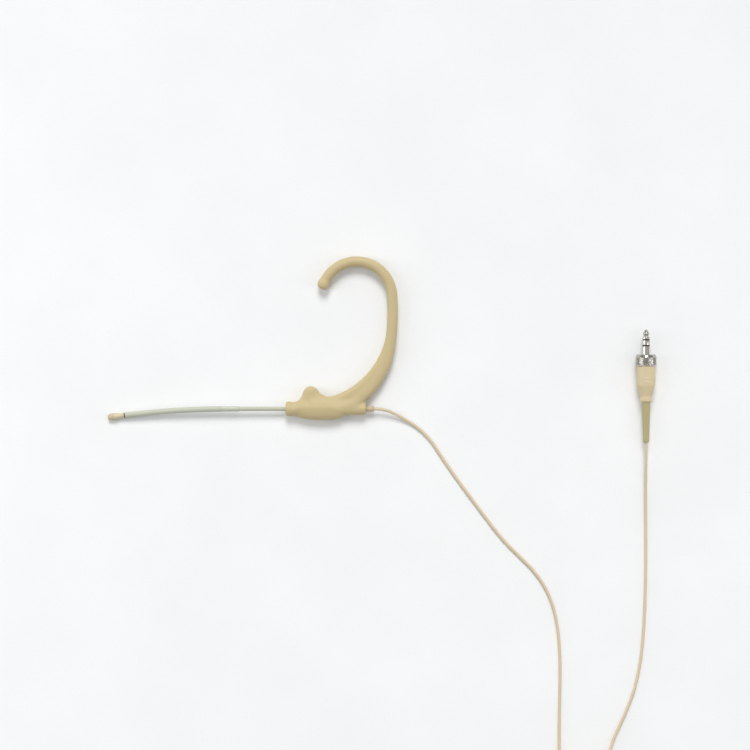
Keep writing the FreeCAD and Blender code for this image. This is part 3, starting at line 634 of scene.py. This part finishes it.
def linear(red, green, blue):
    """A colour given as it looks on screen, 0 to 255, in linear light."""
    return tuple(
        channel / 255 / 12.92 if channel <= 10 else ((channel / 255 + 0.055) / 1.055) ** 2.4
        for channel in (red, green, blue)
    )


def surface(name, colour, roughness, patch=4.0, grain=0.2, bump=0.015, variation=0.05, alpha=1.0):
    """A moulded or painted surface: soft colour patches, uneven gloss, specks and fine grain.

    Its patch and grain are sizes and its bump is a depth; variation is a share of the colour.
    """
    shader = Shader(name)
    patches = shader.noise(patch)
    fine = shader.noise(grain, detail=5.0)
    even = shader.blend(patches, tint(colour, 1 - variation), tint(colour, 1 + variation))
    specks = shader.ramp(fine, 0.0, SPECK_SHARE, *SPECK_NOISE)
    shader.link(shader.blend(specks, even, tint(colour, SPECK_SHADE)), "Base Color")
    gloss = shader.math("MULTIPLY", patches, 2 * GLOSS_SPREAD)
    gloss = shader.math("ADD", gloss, shader.ramp(fine, -GLOSS_SPREAD, GLOSS_SPREAD))
    shader.link(shader.math("ADD", gloss, roughness - GLOSS_SPREAD), "Roughness")
    coarse = shader.bump(patches, bump * 2)
    shader.link(shader.bump(fine, bump, coarse), "Normal")
    shader.set(Alpha=alpha)
    return shader.material


def metal(name, colour, roughness):
    """A plated metal: fine polishing haze, a painted highlight on sharp edges and painted shade in
    the hollows.
    """
    shader = Shader(name)
    haze = shader.noise(METAL_HAZE, detail=6.0)
    fine = shader.noise(METAL_GRAIN, detail=4.0)
    # Painted light: the mesh's pointiness paints a highlight on sharp edges and shade in the
    # hollows.
    edge = shader.add("ShaderNodeNewGeometry").outputs["Pointiness"]
    edge = shader.ramp(edge, 0.0, 1.0, *EDGE_POINTINESS)
    shade = shader.blend(edge, tint(colour, PAINTED_HOLLOW_SHADE), tint(colour, PAINTED_EDGE_HIGHLIGHT))
    dulled = shader.blend(shader.ramp(haze, 0.0, HAZE_SHARE), shade, tint(colour, HAZE_SHADE))
    shader.link(dulled, "Base Color")
    low, high = (roughness * share for share in HAZE_ROUGHNESS)
    shader.link(shader.ramp(haze, low, high), "Roughness")
    shader.link(shader.bump(fine, METAL_BUMP), "Normal")
    shader.set(Metallic=1.0)
    return shader.material


def silicone():
    """The hook's silicone: a soft glow, a matt grain, and a parting line round its rim."""
    colour = linear(198, 180, 136)
    shader = Shader("hook_silicone")
    patches = shader.noise(SILICONE_PATCH)
    fine = shader.noise(SILICONE_GRAIN, detail=6.0)
    base = shader.blend(patches, *(tint(colour, shade) for shade in SILICONE_SHADES))
    specks = shader.ramp(fine, 0.0, SILICONE_SPECK_SHARE, *SILICONE_SPECK_NOISE)
    shader.link(shader.blend(specks, base, tint(colour, SILICONE_SPECK_SHADE)), "Base Color")
    shader.link(shader.ramp(fine, *SILICONE_ROUGHNESS), "Roughness")
    height = shader.add("ShaderNodeSeparateXYZ", {"Vector": shader.place}).outputs["Z"]
    away = shader.math("ABSOLUTE", shader.math("SUBTRACT", height, SLEEVE_M.z))
    seam = shader.ramp(away, 1.0, 0.0, *PARTING_LINE_M)
    seam = shader.bump(seam, PARTING_HEIGHT)
    shader.link(shader.bump(fine, SILICONE_BUMP, seam), "Normal")
    shader.set(
        Subsurface_Weight=SILICONE_GLOW,
        Subsurface_Scale=SILICONE_GLOW_DEPTH_M,
        Subsurface_Radius=SILICONE_GLOW_COLOUR,
    )
    return shader.material


def woven(name, colour):
    """A thin woven strap: two crossing sets of threads."""
    shader = Shader(name)
    parts = shader.add("ShaderNodeSeparateXYZ", {"Vector": shader.place}).outputs
    across = shader.math("MULTIPLY", parts["X"], 2 * math.pi / THREAD_ACROSS_M)
    along = shader.math("ADD", parts["Y"], parts["Z"])
    along = shader.math("MULTIPLY", along, 2 * math.pi / THREAD_ALONG_M)
    crossed = shader.math("MULTIPLY", shader.math("SINE", across), shader.math("SINE", along))
    threads = shader.ramp(crossed, 0.0, 1.0, -1.0, 1.0)
    shades = (tint(colour, shade) for shade in WEAVE_SHADES)
    shader.link(shader.blend(threads, *shades), "Base Color")
    shader.link(shader.bump(threads, WEAVE_BUMP), "Normal")
    shader.set(Roughness=WEAVE_ROUGHNESS, Sheen_Weight=WEAVE_SHEEN)
    return shader.material


# The hook. It is one moulding, so its parts are fields that melt into one another. A field takes
# x, y and z as arrays and gives the distance to a shape, which is below zero inside it.


def unit(degrees):
    """The direction at that angle from +X, in the hook's plane."""
    return Vector((math.cos(math.radians(degrees)), math.sin(math.radians(degrees)), 0))


def melted(first, second, reach):
    """The union of two fields, with a fillet where they come within that reach of each other."""
    near = np.maximum(reach - np.abs(first - second), 0.0)
    return np.minimum(first, second) - near * near / (4 * reach)


def trimmed(first, second, radius):
    """What is inside both fields, with the edge between them rounded to that radius."""
    first, second = first + radius, second + radius
    outside = np.hypot(np.maximum(first, 0.0), np.maximum(second, 0.0))
    return outside + np.minimum(np.maximum(first, second), 0.0) - radius


def beyond_line(x, y, line):
    """The distance out from a line, which is a point on it and the direction out of it."""
    (at_x, at_y), (out_x, out_y) = line
    return out_x * (x - at_x) + out_y * (y - at_y)


def arc_bar(place, middle, radius, start, end):
    """A stretch of the arm along an arc that runs clockwise, from start to end."""
    x, y, z = place
    halfway = (start + end) / 2
    angle = np.degrees(np.arctan2(y - middle.y, x - middle.x))
    angle = np.clip((angle - halfway + 180) % 360 - 180 + halfway, end, start)
    near_x = middle.x + radius * np.cos(np.radians(angle))
    near_y = middle.y + radius * np.sin(np.radians(angle))
    return np.sqrt((x - near_x) ** 2 + (y - near_y) ** 2 + z ** 2) - ARM_RADIUS


def sleeve_field(place):
    """The sleeve, a little thinner towards its rear."""
    x, y, z = place
    taper = (x + SLEEVE_HALF) / (2 * SLEEVE_HALF)
    radius = WAIST_RADIUS + (REAR_RADIUS - WAIST_RADIUS) * np.clip(taper, 0.0, 1.0)
    return trimmed(np.hypot(y, z) - radius, np.abs(x) - SLEEVE_HALF, SLEEVE_EDGE)


def collar_field(place):
    """The ring round the sleeve's front end."""
    x, y, z = place
    half = COLLAR_LENGTH / 2
    along = np.abs(x - (half - SLEEVE_HALF)) - half
    return trimmed(np.hypot(y, z) - COLLAR_RADIUS, along, SLEEVE_EDGE)


def belly_field(place):
    """The swelling under the sleeve: slender to the front and fuller to the rear."""
    x, y, z = place
    along = x - BELLY_MIDDLE[0]
    share = np.clip(np.where(along > 0, along / BELLY_REAR, -along / BELLY_FRONT), 0.0, 1.0)
    power = np.where(along > 0, BELLY_REAR_POWER, BELLY_FRONT_POWER)
    radius = BELLY_RADIUS * (1 - share ** power) ** (1 / power)
    beyond = np.maximum(np.maximum(along - BELLY_REAR, -along - BELLY_FRONT), 0.0)
    return np.hypot(y - BELLY_MIDDLE[1], BELLY_FLATNESS * z) - radius + beyond


def lobe_field(place):
    """The rest in front of the ear lobe: a fin with a round top and a gentler slope behind."""
    x, y, z = place
    top = np.hypot(x - LOBE_MIDDLE[0], y - LOBE_MIDDLE[1]) - LOBE_RADIUS
    flanks = np.maximum(beyond_line(x, y, LOBE_FRONT), beyond_line(x, y, LOBE_REAR))
    flanks = np.maximum(flanks, np.maximum(y - LOBE_TOP, ROOT - y))
    flat = melted(top, flanks, LOBE_TOP_MELT)
    return trimmed(flat, np.abs(z) - LOBE_HALF_THICKNESS, LOBE_EDGE)


def web_field(place, nape_middle):
    """The crescent between the arm and the sleeve, round along its concave edge."""
    x, y, z = place
    from_nape = np.hypot(x - nape_middle.x, y - nape_middle.y) - NAPE_RADIUS
    from_edge = WEB_RADIUS - np.hypot(x - WEB_MIDDLE.x, y - WEB_MIDDLE.y)
    ends = np.maximum(np.maximum(y - WEB_TOP, ROOT - y), WEB_FRONT - x)
    flat = np.maximum(np.maximum(from_nape, from_edge), ends)
    return trimmed(flat, np.abs(z) - WEB_HALF_THICKNESS, WEB_EDGE)


def tip_field(place):
    """The bulb at the arm's end: short, with a flat end and well rounded edges."""
    tip = CROWN_MIDDLE + unit(CROWN_START) * CROWN_RADIUS
    x, y = place[0] - tip.x, place[1] - tip.y
    out = unit(CROWN_START + 90)
    along = x * out.x + y * out.y
    across = np.hypot(x * out.y - y * out.x, place[2])
    return trimmed(across - TIP_RADIUS, np.abs(along - TIP_SHIFT) - TIP_HALF_LENGTH, TIP_EDGE)


def hook_field(place):
    """The whole hook, about the sleeve's middle."""
    back_middle = CROWN_MIDDLE + unit(CROWN_END) * (CROWN_RADIUS - BACK_RADIUS)
    nape_middle = back_middle + unit(BACK_END) * (BACK_RADIUS - NAPE_RADIUS)
    arm = arc_bar(place, CROWN_MIDDLE, CROWN_RADIUS, CROWN_START, CROWN_END)
    arm = np.minimum(arm, arc_bar(place, back_middle, BACK_RADIUS, CROWN_END, BACK_END))
    arm = np.minimum(arm, arc_bar(place, nape_middle, NAPE_RADIUS, BACK_END, NAPE_END))
    arm = melted(arm, tip_field(place), TIP_MELT)
    body = melted(sleeve_field(place), belly_field(place), BELLY_MELT)
    body = melted(body, lobe_field(place), LOBE_MELT)
    body = melted(body, web_field(place, nape_middle), WEB_MELT)
    below = np.clip((ARM_MELT_TOP - place[1]) / ARM_MELT_RUN, 0.0, 1.0)
    body = melted(body, arm, ARM_MELT + ARM_MELT_GAIN * below)
    return melted(body, collar_field(place), COLLAR_MELT)


def surface_net(field, low, pitch):
    """The mesh where the field is zero, with a vertex in each cell that the surface crosses.

    The vertex is the mean of the points where the surface crosses the cell's edges, and each
    crossed edge of the grid gives a quad between the four cells round it.
    """
    inside = field < 0
    corners_inside = sum(
        inside[x:x - 1 or None, y:y - 1 or None, z:z - 1 or None].astype(np.int8)
        for x in (0, 1) for y in (0, 1) for z in (0, 1)
    )
    crossed = (corners_inside > 0) & (corners_inside < 8)
    cells = np.argwhere(crossed)
    number = np.full(crossed.shape, -1)
    number[crossed] = np.arange(len(cells))
    total = np.zeros((len(cells), 3))
    hits = np.zeros((len(cells), 1))
    faces = []
    steps = np.eye(3, dtype=int)
    for axis in range(3):
        step, second, third = steps[axis], steps[(axis + 1) % 3], steps[(axis + 2) % 3]
        for shift in (0 * step, second, third, second + third):
            near, far = (field[tuple((cells + shift + extra).T)] for extra in (0 * step, step))
            hit = ((near < 0) != (far < 0))[:, None]
            share = (near / np.where(near == far, 1.0, near - far))[:, None]
            total += hit * (cells + shift + share * step)
            hits += hit
        before = np.take(inside, range(inside.shape[axis] - 1), axis)
        after = np.take(inside, range(1, inside.shape[axis]), axis)
        edges = np.argwhere(before != after)
        around = (0 * step, second, second + third, third)
        quads = np.stack([number[tuple((edges - shift).T)] for shift in around], 1)
        outward = before[tuple(edges.T)]
        quads[~outward] = quads[~outward][:, ::-1]
        faces.append(quads)
    return np.array(low) + pitch * total / hits, np.concatenate(faces)


def relax(places, faces, rounds):
    """Moves each vertex halfway to its neighbours' mean, that many times."""
    first, second = faces.ravel(), np.roll(faces, 1, axis=1).ravel()
    links = np.bincount(first, minlength=len(places))[:, None] * 2.0
    for _ in range(rounds):
        total = np.empty_like(places)
        for axis in range(3):
            total[:, axis] = np.bincount(first, places[second, axis], len(places))
            total[:, axis] += np.bincount(second, places[first, axis], len(places))
        places = (places + total / links) / 2
    return places


def sleeve_cutter():
    """The shape of the sleeve's hollow: a seat for the liner and a hole through each end's lip."""
    seat, end = SLEEVE_HALF - LIP_LENGTH, SLEEVE_HALF + CUTTER_OVERSHOOT
    corners = [
        (0, -end), (LIP_RADIUS, -end), (LIP_RADIUS, -seat), (SEAT_RADIUS, -seat),
        (SEAT_RADIUS, seat), (LIP_RADIUS, seat), (LIP_RADIUS, end), (0, end),
    ]
    along_boom = Vector((1, 0, 0)).to_track_quat("Z", "Y").to_matrix().to_4x4()
    return lathe("sleeve_cutter", corners, along_boom, CUTTER_SEGMENTS)


def hollowed(piece, cutter):
    """Cuts a shape out of a piece, for good, and removes the shape."""
    hollow = piece.modifiers.new("hollow", "BOOLEAN")
    hollow.operation = "DIFFERENCE"
    hollow.solver = "EXACT"
    hollow.object = cutter
    depsgraph = bpy.context.evaluated_depsgraph_get()
    old, piece.data = piece.data, bpy.data.meshes.new_from_object(piece.evaluated_get(depsgraph))
    piece.modifiers.clear()
    bpy.data.meshes.remove(old)
    bpy.data.objects.remove(cutter)


def make_hook():
    """The hook, made in millimetres about its sleeve's middle, then put in place in metres."""
    axes = [np.arange(low, high, GRID_PITCH) for low, high in zip(GRID_LOW, GRID_HIGH)]
    field = hook_field(np.meshgrid(*axes, indexing="ij"))
    places, faces = surface_net(field, GRID_LOW, GRID_PITCH)
    places = relax(places, faces, RELAX_ROUNDS)
    mesh = bpy.data.meshes.new("ear_hook_skin")
    mesh.from_pydata(places.tolist(), [], faces.tolist())
    hook = bpy.data.objects.new("ear_hook_skin", mesh)
    bpy.context.scene.collection.objects.link(hook)
    hollowed(hook, sleeve_cutter())
    hook.data.transform(Matrix.Translation(SLEEVE_M) @ Matrix.Scale(MM, 4))
    hook.data.shade_smooth()
    hook.data.set_sharp_from_angle(angle=math.radians(HOOK_SMOOTH_ANGLE))
    dress(hook, silicone(), "hook_silicone", "ear_hook", body="hook")


# The boom.


def boom_at(back):
    """The place, about the sleeve's middle, and the forward direction, that far back."""
    if back >= BEND_LENGTH:
        return KNEE + Vector((back - BEND_LENGTH, 0, 0)), Vector((-1, 0, 0))
    angle = (BEND_LENGTH - back) / BEND_RADIUS
    place = KNEE + Vector((-BEND_RADIUS * math.sin(angle), 0, 0))
    place += BEND_SIDE * BEND_RADIUS * (1 - math.cos(angle))
    return place, Vector((-math.cos(angle), 0, 0)) + BEND_SIDE * math.sin(angle)


def boom_bar(name, corners):
    """A tube along the boom, with steps in its outline short enough to follow the bend."""
    outline = rounded(corners)
    points = []
    for here, after in zip(outline, outline[1:] + outline[:1]):
        count = max(1, math.ceil(abs(after[1] - here[1]) / BOOM_STEP))
        points += [here.lerp(after, number / count) for number in range(count)]
    bm = bmesh.new()
    rings = []
    for radius, back in points:
        middle, heading = boom_at(back)
        side = heading.cross(BEND_ACROSS)
        ring = []
        for number in range(BOOM_SEGMENTS):
            angle = 2 * math.pi * number / BOOM_SEGMENTS
            out = side * math.cos(angle) + BEND_ACROSS * math.sin(angle)
            ring.append(bm.verts.new(SLEEVE_M + (middle + out * radius) * MM))
        rings.append(ring)
    bridge(bm, rings, closed=True)
    return new_piece(name, bm)


def make_boom():
    """The tube, the sheath over its bend and the clear sleeve over the sheath's rear end."""
    coating = surface(
        "boom_coating", linear(187, 188, 167), 0.42, patch=5, grain=0.12, bump=0.006,
        variation=0.04,
    )
    dress(boom_bar("boom_tube_skin", TUBE_OUTLINE), coating, "boom_tube", "boom_tube")
    coat = surface("sheath_plastic", linear(188, 190, 173), 0.5, patch=6, grain=0.18, bump=0.012)
    dress(boom_bar("boom_sheath_skin", SHEATH_OUTLINE), coat, "boom_sheath", "boom_sheath")
    milky = surface("clear_plastic", linear(222, 224, 208), 0.2, patch=3, bump=0.01, alpha=0.5)
    clear = boom_bar("sheath_clear_skin", CLEAR_OUTLINE)
    dress(clear, milky, "clear_sleeve", "sheath_clear_sleeve")


def make_capsule():
    """The dark ring, the housing and the front cap with its sound port and mesh."""
    front, heading = boom_at(0)
    place = axis_place(SLEEVE_M + front * MM, heading)
    shell = surface(
        "capsule_plastic", linear(203, 192, 160), 0.38, patch=2, grain=0.1, bump=0.006,
        variation=0.06,
    )
    dark = surface("ring_rubber", linear(92, 62, 50), 0.55, patch=1, grain=0.08, bump=0.006)
    dress(lathe("capsule_ring", GASKET_OUTLINE, place), dark, "gasket", "capsule_gasket")
    housing = lathe("capsule_housing_skin", HOUSING_OUTLINE, place, CAPSULE_SEGMENTS)
    dress(housing, shell, "capsule_shell", "capsule_housing")
    band = surface(
        "cap_plastic", linear(198, 180, 146), 0.36, patch=2, grain=0.1, bump=0.006,
        variation=0.08,
    )
    cap = lathe("front_cap_skin", CAP_OUTLINE, place, CAPSULE_SEGMENTS)
    dress(cap, band, "capsule_shell", "front_cap")
    wires = metal("mesh_wire", (0.42, 0.42, 0.43), 0.35)
    dress(make_mesh_disc(place), wires, "mesh", "cap_mesh")


def make_mesh_disc(place):
    """Crossed wires behind the sound port, in a thin rim."""
    bm = bmesh.new()
    turn_outline(bm, rounded(MESH_RIM_OUTLINE), place, BOOM_SEGMENTS)
    for number in range(-MESH_SIDE_WIRES, MESH_SIDE_WIRES + 1):
        offset = number * MESH_PITCH
        half = math.sqrt(MESH_REACH ** 2 - offset ** 2)
        for turn, lift in ((0, -MESH_WIRE_LIFT), (90, MESH_WIRE_LIFT)):
            spin = place @ Matrix.Rotation(math.radians(turn), 4, "Z")
            start, end = (
                spin @ Vector((along, offset, MESH_STATION + lift)) for along in (-half, half)
            )
            side = spin.to_3x3() @ Vector((0, MESH_WIRE_RADIUS, 0))
            up = spin.to_3x3() @ Vector((0, 0, MESH_WIRE_RADIUS))
            ends = ((start, 0), (start, 1), (end, 1), (end, 0))
            sweep(bm, [(point, side, up, size, size) for point, size in ends], WIRE_SEGMENTS)
    return new_piece("cap_mesh_wires", bm)


def make_boom_relief():
    """The short strain relief where the cord leaves the boom, with a bead at each end."""
    place = axis_place(SLEEVE_M, (1, 0, 0))
    relief = lathe("boom_relief_skin", BOOM_RELIEF_OUTLINE, place, CAPSULE_SEGMENTS)
    rubber = surface(
        "boom_relief_rubber", linear(198, 178, 148), 0.5, patch=2, grain=0.1, bump=0.008
    )
    dress(relief, rubber, "relief_rubber", "boom_strain_relief")


# The plug, from its tip backwards.


def make_contacts(place):
    """The jack's contacts and the two dark bands between them."""
    nickel = metal("contact_nickel", (0.56, 0.54, 0.485), 0.2)
    black = surface(
        "band_nylon", (0.012, 0.012, 0.013), 0.3, patch=1, grain=0.1, bump=0.003, variation=0.2
    )
    made = []
    for node, outline in JACK_OUTLINES.items():
        is_band = node.endswith("insulator")
        material, slot = (black, "insulator") if is_band else (nickel, "contact_metal")
        made.append(dress(lathe(node + "_skin", outline, place), material, slot, node))
    return made


def knurl(angle, radius, station):
    """The outer radius with two crossing sets of grooves pressed into it."""
    start, end = KNURL_START - KNURL_MARGIN, KNURL_END + KNURL_MARGIN
    if radius < KNURL_INNER or not start <= station <= end:
        return radius
    along = (station - KNURL_START) / (2 * math.pi * KNURL_RADIUS / KNURL_COUNT)
    around = angle * KNURL_COUNT / (2 * math.pi)
    ridges = [abs((around + sign * along) % 1.0 - 0.5) * 2 for sign in (-1, 1)]
    groove = min(1.0, KNURL_SHARPNESS * max(ridges))
    fade = min(1.0, (station - start) / KNURL_FADE, (end - station) / KNURL_FADE)
    return radius - KNURL_DEPTH * fade * groove ** KNURL_POWER


def add_thread(bm, place):
    """The ring's inner thread: a ridge that winds round the bore."""
    rings = []
    for number in range(int(THREAD_TURNS * THREAD_STEPS) + 1):
        angle = 2 * math.pi * number / THREAD_STEPS
        station = THREAD_START + THREAD_PITCH * number / THREAD_STEPS
        left = THREAD_TURNS * THREAD_STEPS - number
        grow = min(1.0, number / THREAD_FADE_STEPS, left / THREAD_FADE_STEPS)
        crest = THREAD_ROOT - (THREAD_ROOT - THREAD_CREST) * max(grow, THREAD_LEAST)
        section = (
            (THREAD_ROOT, -THREAD_HALF_ROOT), (crest, -THREAD_HALF_CREST),
            (crest, THREAD_HALF_CREST), (THREAD_ROOT, THREAD_HALF_ROOT),
        )
        ring = []
        for radius, shift in section:
            spot = Vector((radius * math.cos(angle), radius * math.sin(angle), station + shift))
            ring.append(bm.verts.new(place @ spot))
        rings.append(ring)
    bridge(bm, rings, closed=False)
    bm.faces.new(rings[0])
    bm.faces.new(rings[-1])


def make_lock_ring(place):
    """The locking ring: a smooth domed front, a diamond knurl and a threaded bore."""
    length = KNURL_END - KNURL_START
    outline = rounded(RING_FRONT_OUTLINE)
    for step in range(1, KNURL_STEPS + 1):
        outline.append(Vector((KNURL_RADIUS, KNURL_START + length * step / KNURL_STEPS)))
    outline += rounded(RING_REAR_OUTLINE)
    bm = bmesh.new()
    turn_outline(bm, outline, place, KNURL_SEGMENTS, knurl)
    add_thread(bm, place)
    ring = new_piece("lock_ring_skin", bm, RING_SMOOTH_ANGLE)
    nickel = metal("ring_nickel", (0.51, 0.495, 0.45), 0.22)
    return dress(ring, nickel, "ring_metal", "lock_ring", body="lock_ring")


def make_barrel(place):
    """The moulded barrel and its two raised bars."""
    cream = surface(
        "barrel_plastic", linear(212, 195, 157), 0.4, patch=6, grain=0.15, bump=0.008,
        variation=0.035,
    )
    barrel = lathe("plug_barrel_skin", BARREL_OUTLINE, place, BARREL_SEGMENTS, steps=10)
    dress(barrel, cream, "barrel_plastic", "plug_barrel")
    bars = make_bars()
    pale = surface("mark_plastic", linear(232, 222, 200), 0.35, patch=1, grain=0.08, bump=0.004)
    dress(bars, pale, "liner_plastic", "barrel_marks")
    return [barrel, bars]


def make_bars():
    """Two small bars with round ends that stand a little out of the barrel, on its upper side."""
    low_m, high_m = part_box("barrel_marks")
    half_length_m = (high_m.x - low_m.x) / 2
    half_width_m = BAR_HALF_WIDTH * MM
    across, up = Vector((0, 1, 0)), Vector((0, 0, 1))
    bm = bmesh.new()
    for y in (low_m.y + half_width_m, high_m.y - half_width_m):
        middle = Vector((PLUG_TIP_M.x, y, high_m.z - BAR_SINK * MM))
        stations = []
        for number in range(BAR_STEPS + 1):
            share = -math.cos(math.pi * number / BAR_STEPS)
            width = half_width_m * math.sqrt(max(0.0, 1 - abs(share) ** BAR_POWER))
            along = share * half_length_m
            spot = middle + Vector((along, 0, -along ** 2 / (2 * BARREL_RADIUS * MM)))
            stations.append((spot, across, up, width, width * BAR_FLATNESS))
        sweep(bm, stations, BAR_SEGMENTS)
    return new_piece("barrel_marks_skin", bm)


def make_plug_relief(place):
    """The plug's soft strain relief: a long taper with a rounded end."""
    relief = lathe("plug_relief_skin", PLUG_RELIEF_OUTLINE, place, steps=10)
    olive = surface(
        "plug_relief_rubber", linear(177, 166, 121), 0.45, patch=7, grain=0.14, bump=0.008,
        variation=0.06,
    )
    return dress(relief, olive, "plug_relief", "plug_strain_relief")


def make_plug():
    """All the pieces of the plug, with those inside it."""
    place = axis_place(PLUG_TIP_M, (0, -1, 0))
    pieces = make_contacts(place) + [make_lock_ring(place)] + make_barrel(place)
    inner = ("plug_core_block", "cord_in_plug", "plug_conductors")
    return [*pieces, make_plug_relief(place), *(frame["nodes"][name] for name in inner)]


# The cord and its strap.


def coil_points():
    """The coil's turns: each layer's lanes are filled in turn, outwards in and then inwards out."""
    middle = (COIL_LOW_M + COIL_HIGH_M) / 2
    step = 2 * CORD_RADIUS
    outer = (COIL_HIGH_M.x - COIL_LOW_M.x) / 2 / MM - CORD_RADIUS
    lowest = COIL_LOW_M.z / MM + CORD_RADIUS
    lanes = []
    for layer in range(COIL_LANES):
        for place in range(COIL_LANES):
            column = place if layer % 2 == 0 else COIL_LANES - 1 - place
            lanes.append((outer - column * step, lowest + layer * step))
    points = []
    for number in range(int(COIL_TURNS * COIL_STEPS) + 1):
        turns = number / COIL_STEPS
        lane = min(int(turns), len(lanes) - 1)
        change = max(0.0, (turns - lane - LANE_CHANGE) / (1 - LANE_CHANGE))
        change = change * change * (3 - 2 * change)
        here, after = lanes[lane], lanes[min(lane + 1, len(lanes) - 1)]
        radius = here[0] + (after[0] - here[0]) * change
        height = here[1] + (after[1] - here[1]) * change
        angle = math.pi + 2 * math.pi * turns
        x = middle.x + radius * math.cos(angle) * MM
        y = middle.y + radius * math.sin(angle) * MM
        points.append((x, y, height * MM))
    return points


def make_cord(plug_pieces):
    """The cord, from the boom through the coil to the plug, with the strap; the plug's pieces are
    not used.
    """
    points = LEAD_ROUTE_M + coil_points() + TAIL_ROUTE_M
    curve = bpy.data.curves.new("cord", "CURVE")
    curve.dimensions = "3D"
    spline = curve.splines.new("NURBS")
    spline.points.add(len(points) - 1)
    for point, place in zip(spline.points, points):
        point.co = (*place, 1)
    spline.order_u = 3
    spline.use_endpoint_u = True
    spline.resolution_u = 8
    curve.bevel_depth = CORD_RADIUS * MM
    curve.bevel_resolution = 7
    curve.use_fill_caps = True
    cord = bpy.data.objects.new("cord", curve)
    bpy.context.scene.collection.objects.link(cord)
    jacket = surface("cord_jacket", linear(214, 196, 167), 0.42, patch=8, grain=0.12, bump=0.006)
    dress(cord, jacket, "cord_jacket", "cord_lead", "cord_coil", "cord_tail")
    strap = make_tie()


def make_tie():
    """The strap round the coil: a flat loop whose free end lies over its start."""
    low_m, high_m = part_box("coil_tie")
    middle_m = Vector([(low + high) / 2 for low, high in zip(low_m, high_m)])
    wide = (high_m.x - low_m.x) / 2 / MM
    narrow = wide - TIE_BEVEL_WIDTH
    under, over = TIE_BEVEL_DEPTH, TIE_THICKNESS - TIE_BEVEL_DEPTH
    section = (
        (-wide, under), (-narrow, 0), (narrow, 0), (wide, under),
        (wide, over), (narrow, TIE_THICKNESS), (-narrow, TIE_THICKNESS), (-wide, over),
    )
    flat = TIE_INSIDE - TIE_CORNER
    bm = bmesh.new()
    rings = []
    for quarter, (side, top) in enumerate(((1, 1), (-1, 1), (-1, -1), (1, -1), (1, 1))):
        for step in range(TIE_CORNER_STEPS + 1):
            turns = quarter + step / TIE_CORNER_STEPS
            out = Vector((math.cos(math.pi / 2 * turns), math.sin(math.pi / 2 * turns)))
            lift = TIE_LAP_LIFT * min(1.0, max(0.0, turns - TIE_LAP_START))
            spot = Vector((side * flat, top * flat)) + out * (TIE_CORNER + lift)
            ring = []
            for x, depth in section:
                y, z = spot + out * depth
                ring.append(bm.verts.new(middle_m + Vector((x, y, z)) * MM))
            rings.append(ring)
    bridge(bm, rings, closed=False)
    bm.faces.new(rings[0])
    bm.faces.new(rings[-1])
    weave = woven("strap_weave", (0.05, 0.05, 0.055))
    return dress(new_piece("coil_tie_skin", bm), weave, "tie_strap", "coil_tie")


# The nodes that keep their CAD shape, most of them inside.


def dress_cad_nodes():
    """Gives each of them its material."""
    finishes = {
        "hook_core_wire": metal("soft_wire", (0.72, 0.72, 0.73), 0.35),
        "sleeve_liner": surface("liner_acetal", linear(232, 230, 222), 0.3),
        "friction_bush": surface("bush_acetal", linear(226, 224, 214), 0.28),
        "boom_core_wire": metal("boom_wire", (0.66, 0.66, 0.67), 0.3),
        "capsule_leads": metal("lead_enamel", (0.62, 0.28, 0.13), 0.25),
        "capsule_can": metal("can_aluminium", (0.78, 0.78, 0.80), 0.2),
        "capsule_board": surface("board_resist", (0.015, 0.09, 0.035), 0.35, patch=1, grain=0.1),
        "back_plate": metal("back_plate_metal", (0.75, 0.74, 0.72), 0.25),
        "diaphragm": metal("diaphragm_film", (0.80, 0.72, 0.45), 0.15),
        "wire_splice": metal("splice_copper", (0.70, 0.36, 0.20), 0.3),
        "cord_in_boom": surface("cord_end", linear(210, 190, 158), 0.45),
        "plug_core_block": surface("core_plastic", linear(206, 200, 184), 0.4),
        "cord_in_plug": surface("cord_plug_end", linear(210, 190, 158), 0.45),
        "plug_conductors": metal("conductor_copper", (0.72, 0.40, 0.22), 0.3),
    }
    for node, material in finishes.items():
        paint(frame["nodes"][node].data, material)


make_camera()
make_cord(make_plug())
make_hook()
make_boom()
make_capsule()
make_boom_relief()
dress_cad_nodes()
make_table()
make_lights()
make_sky()
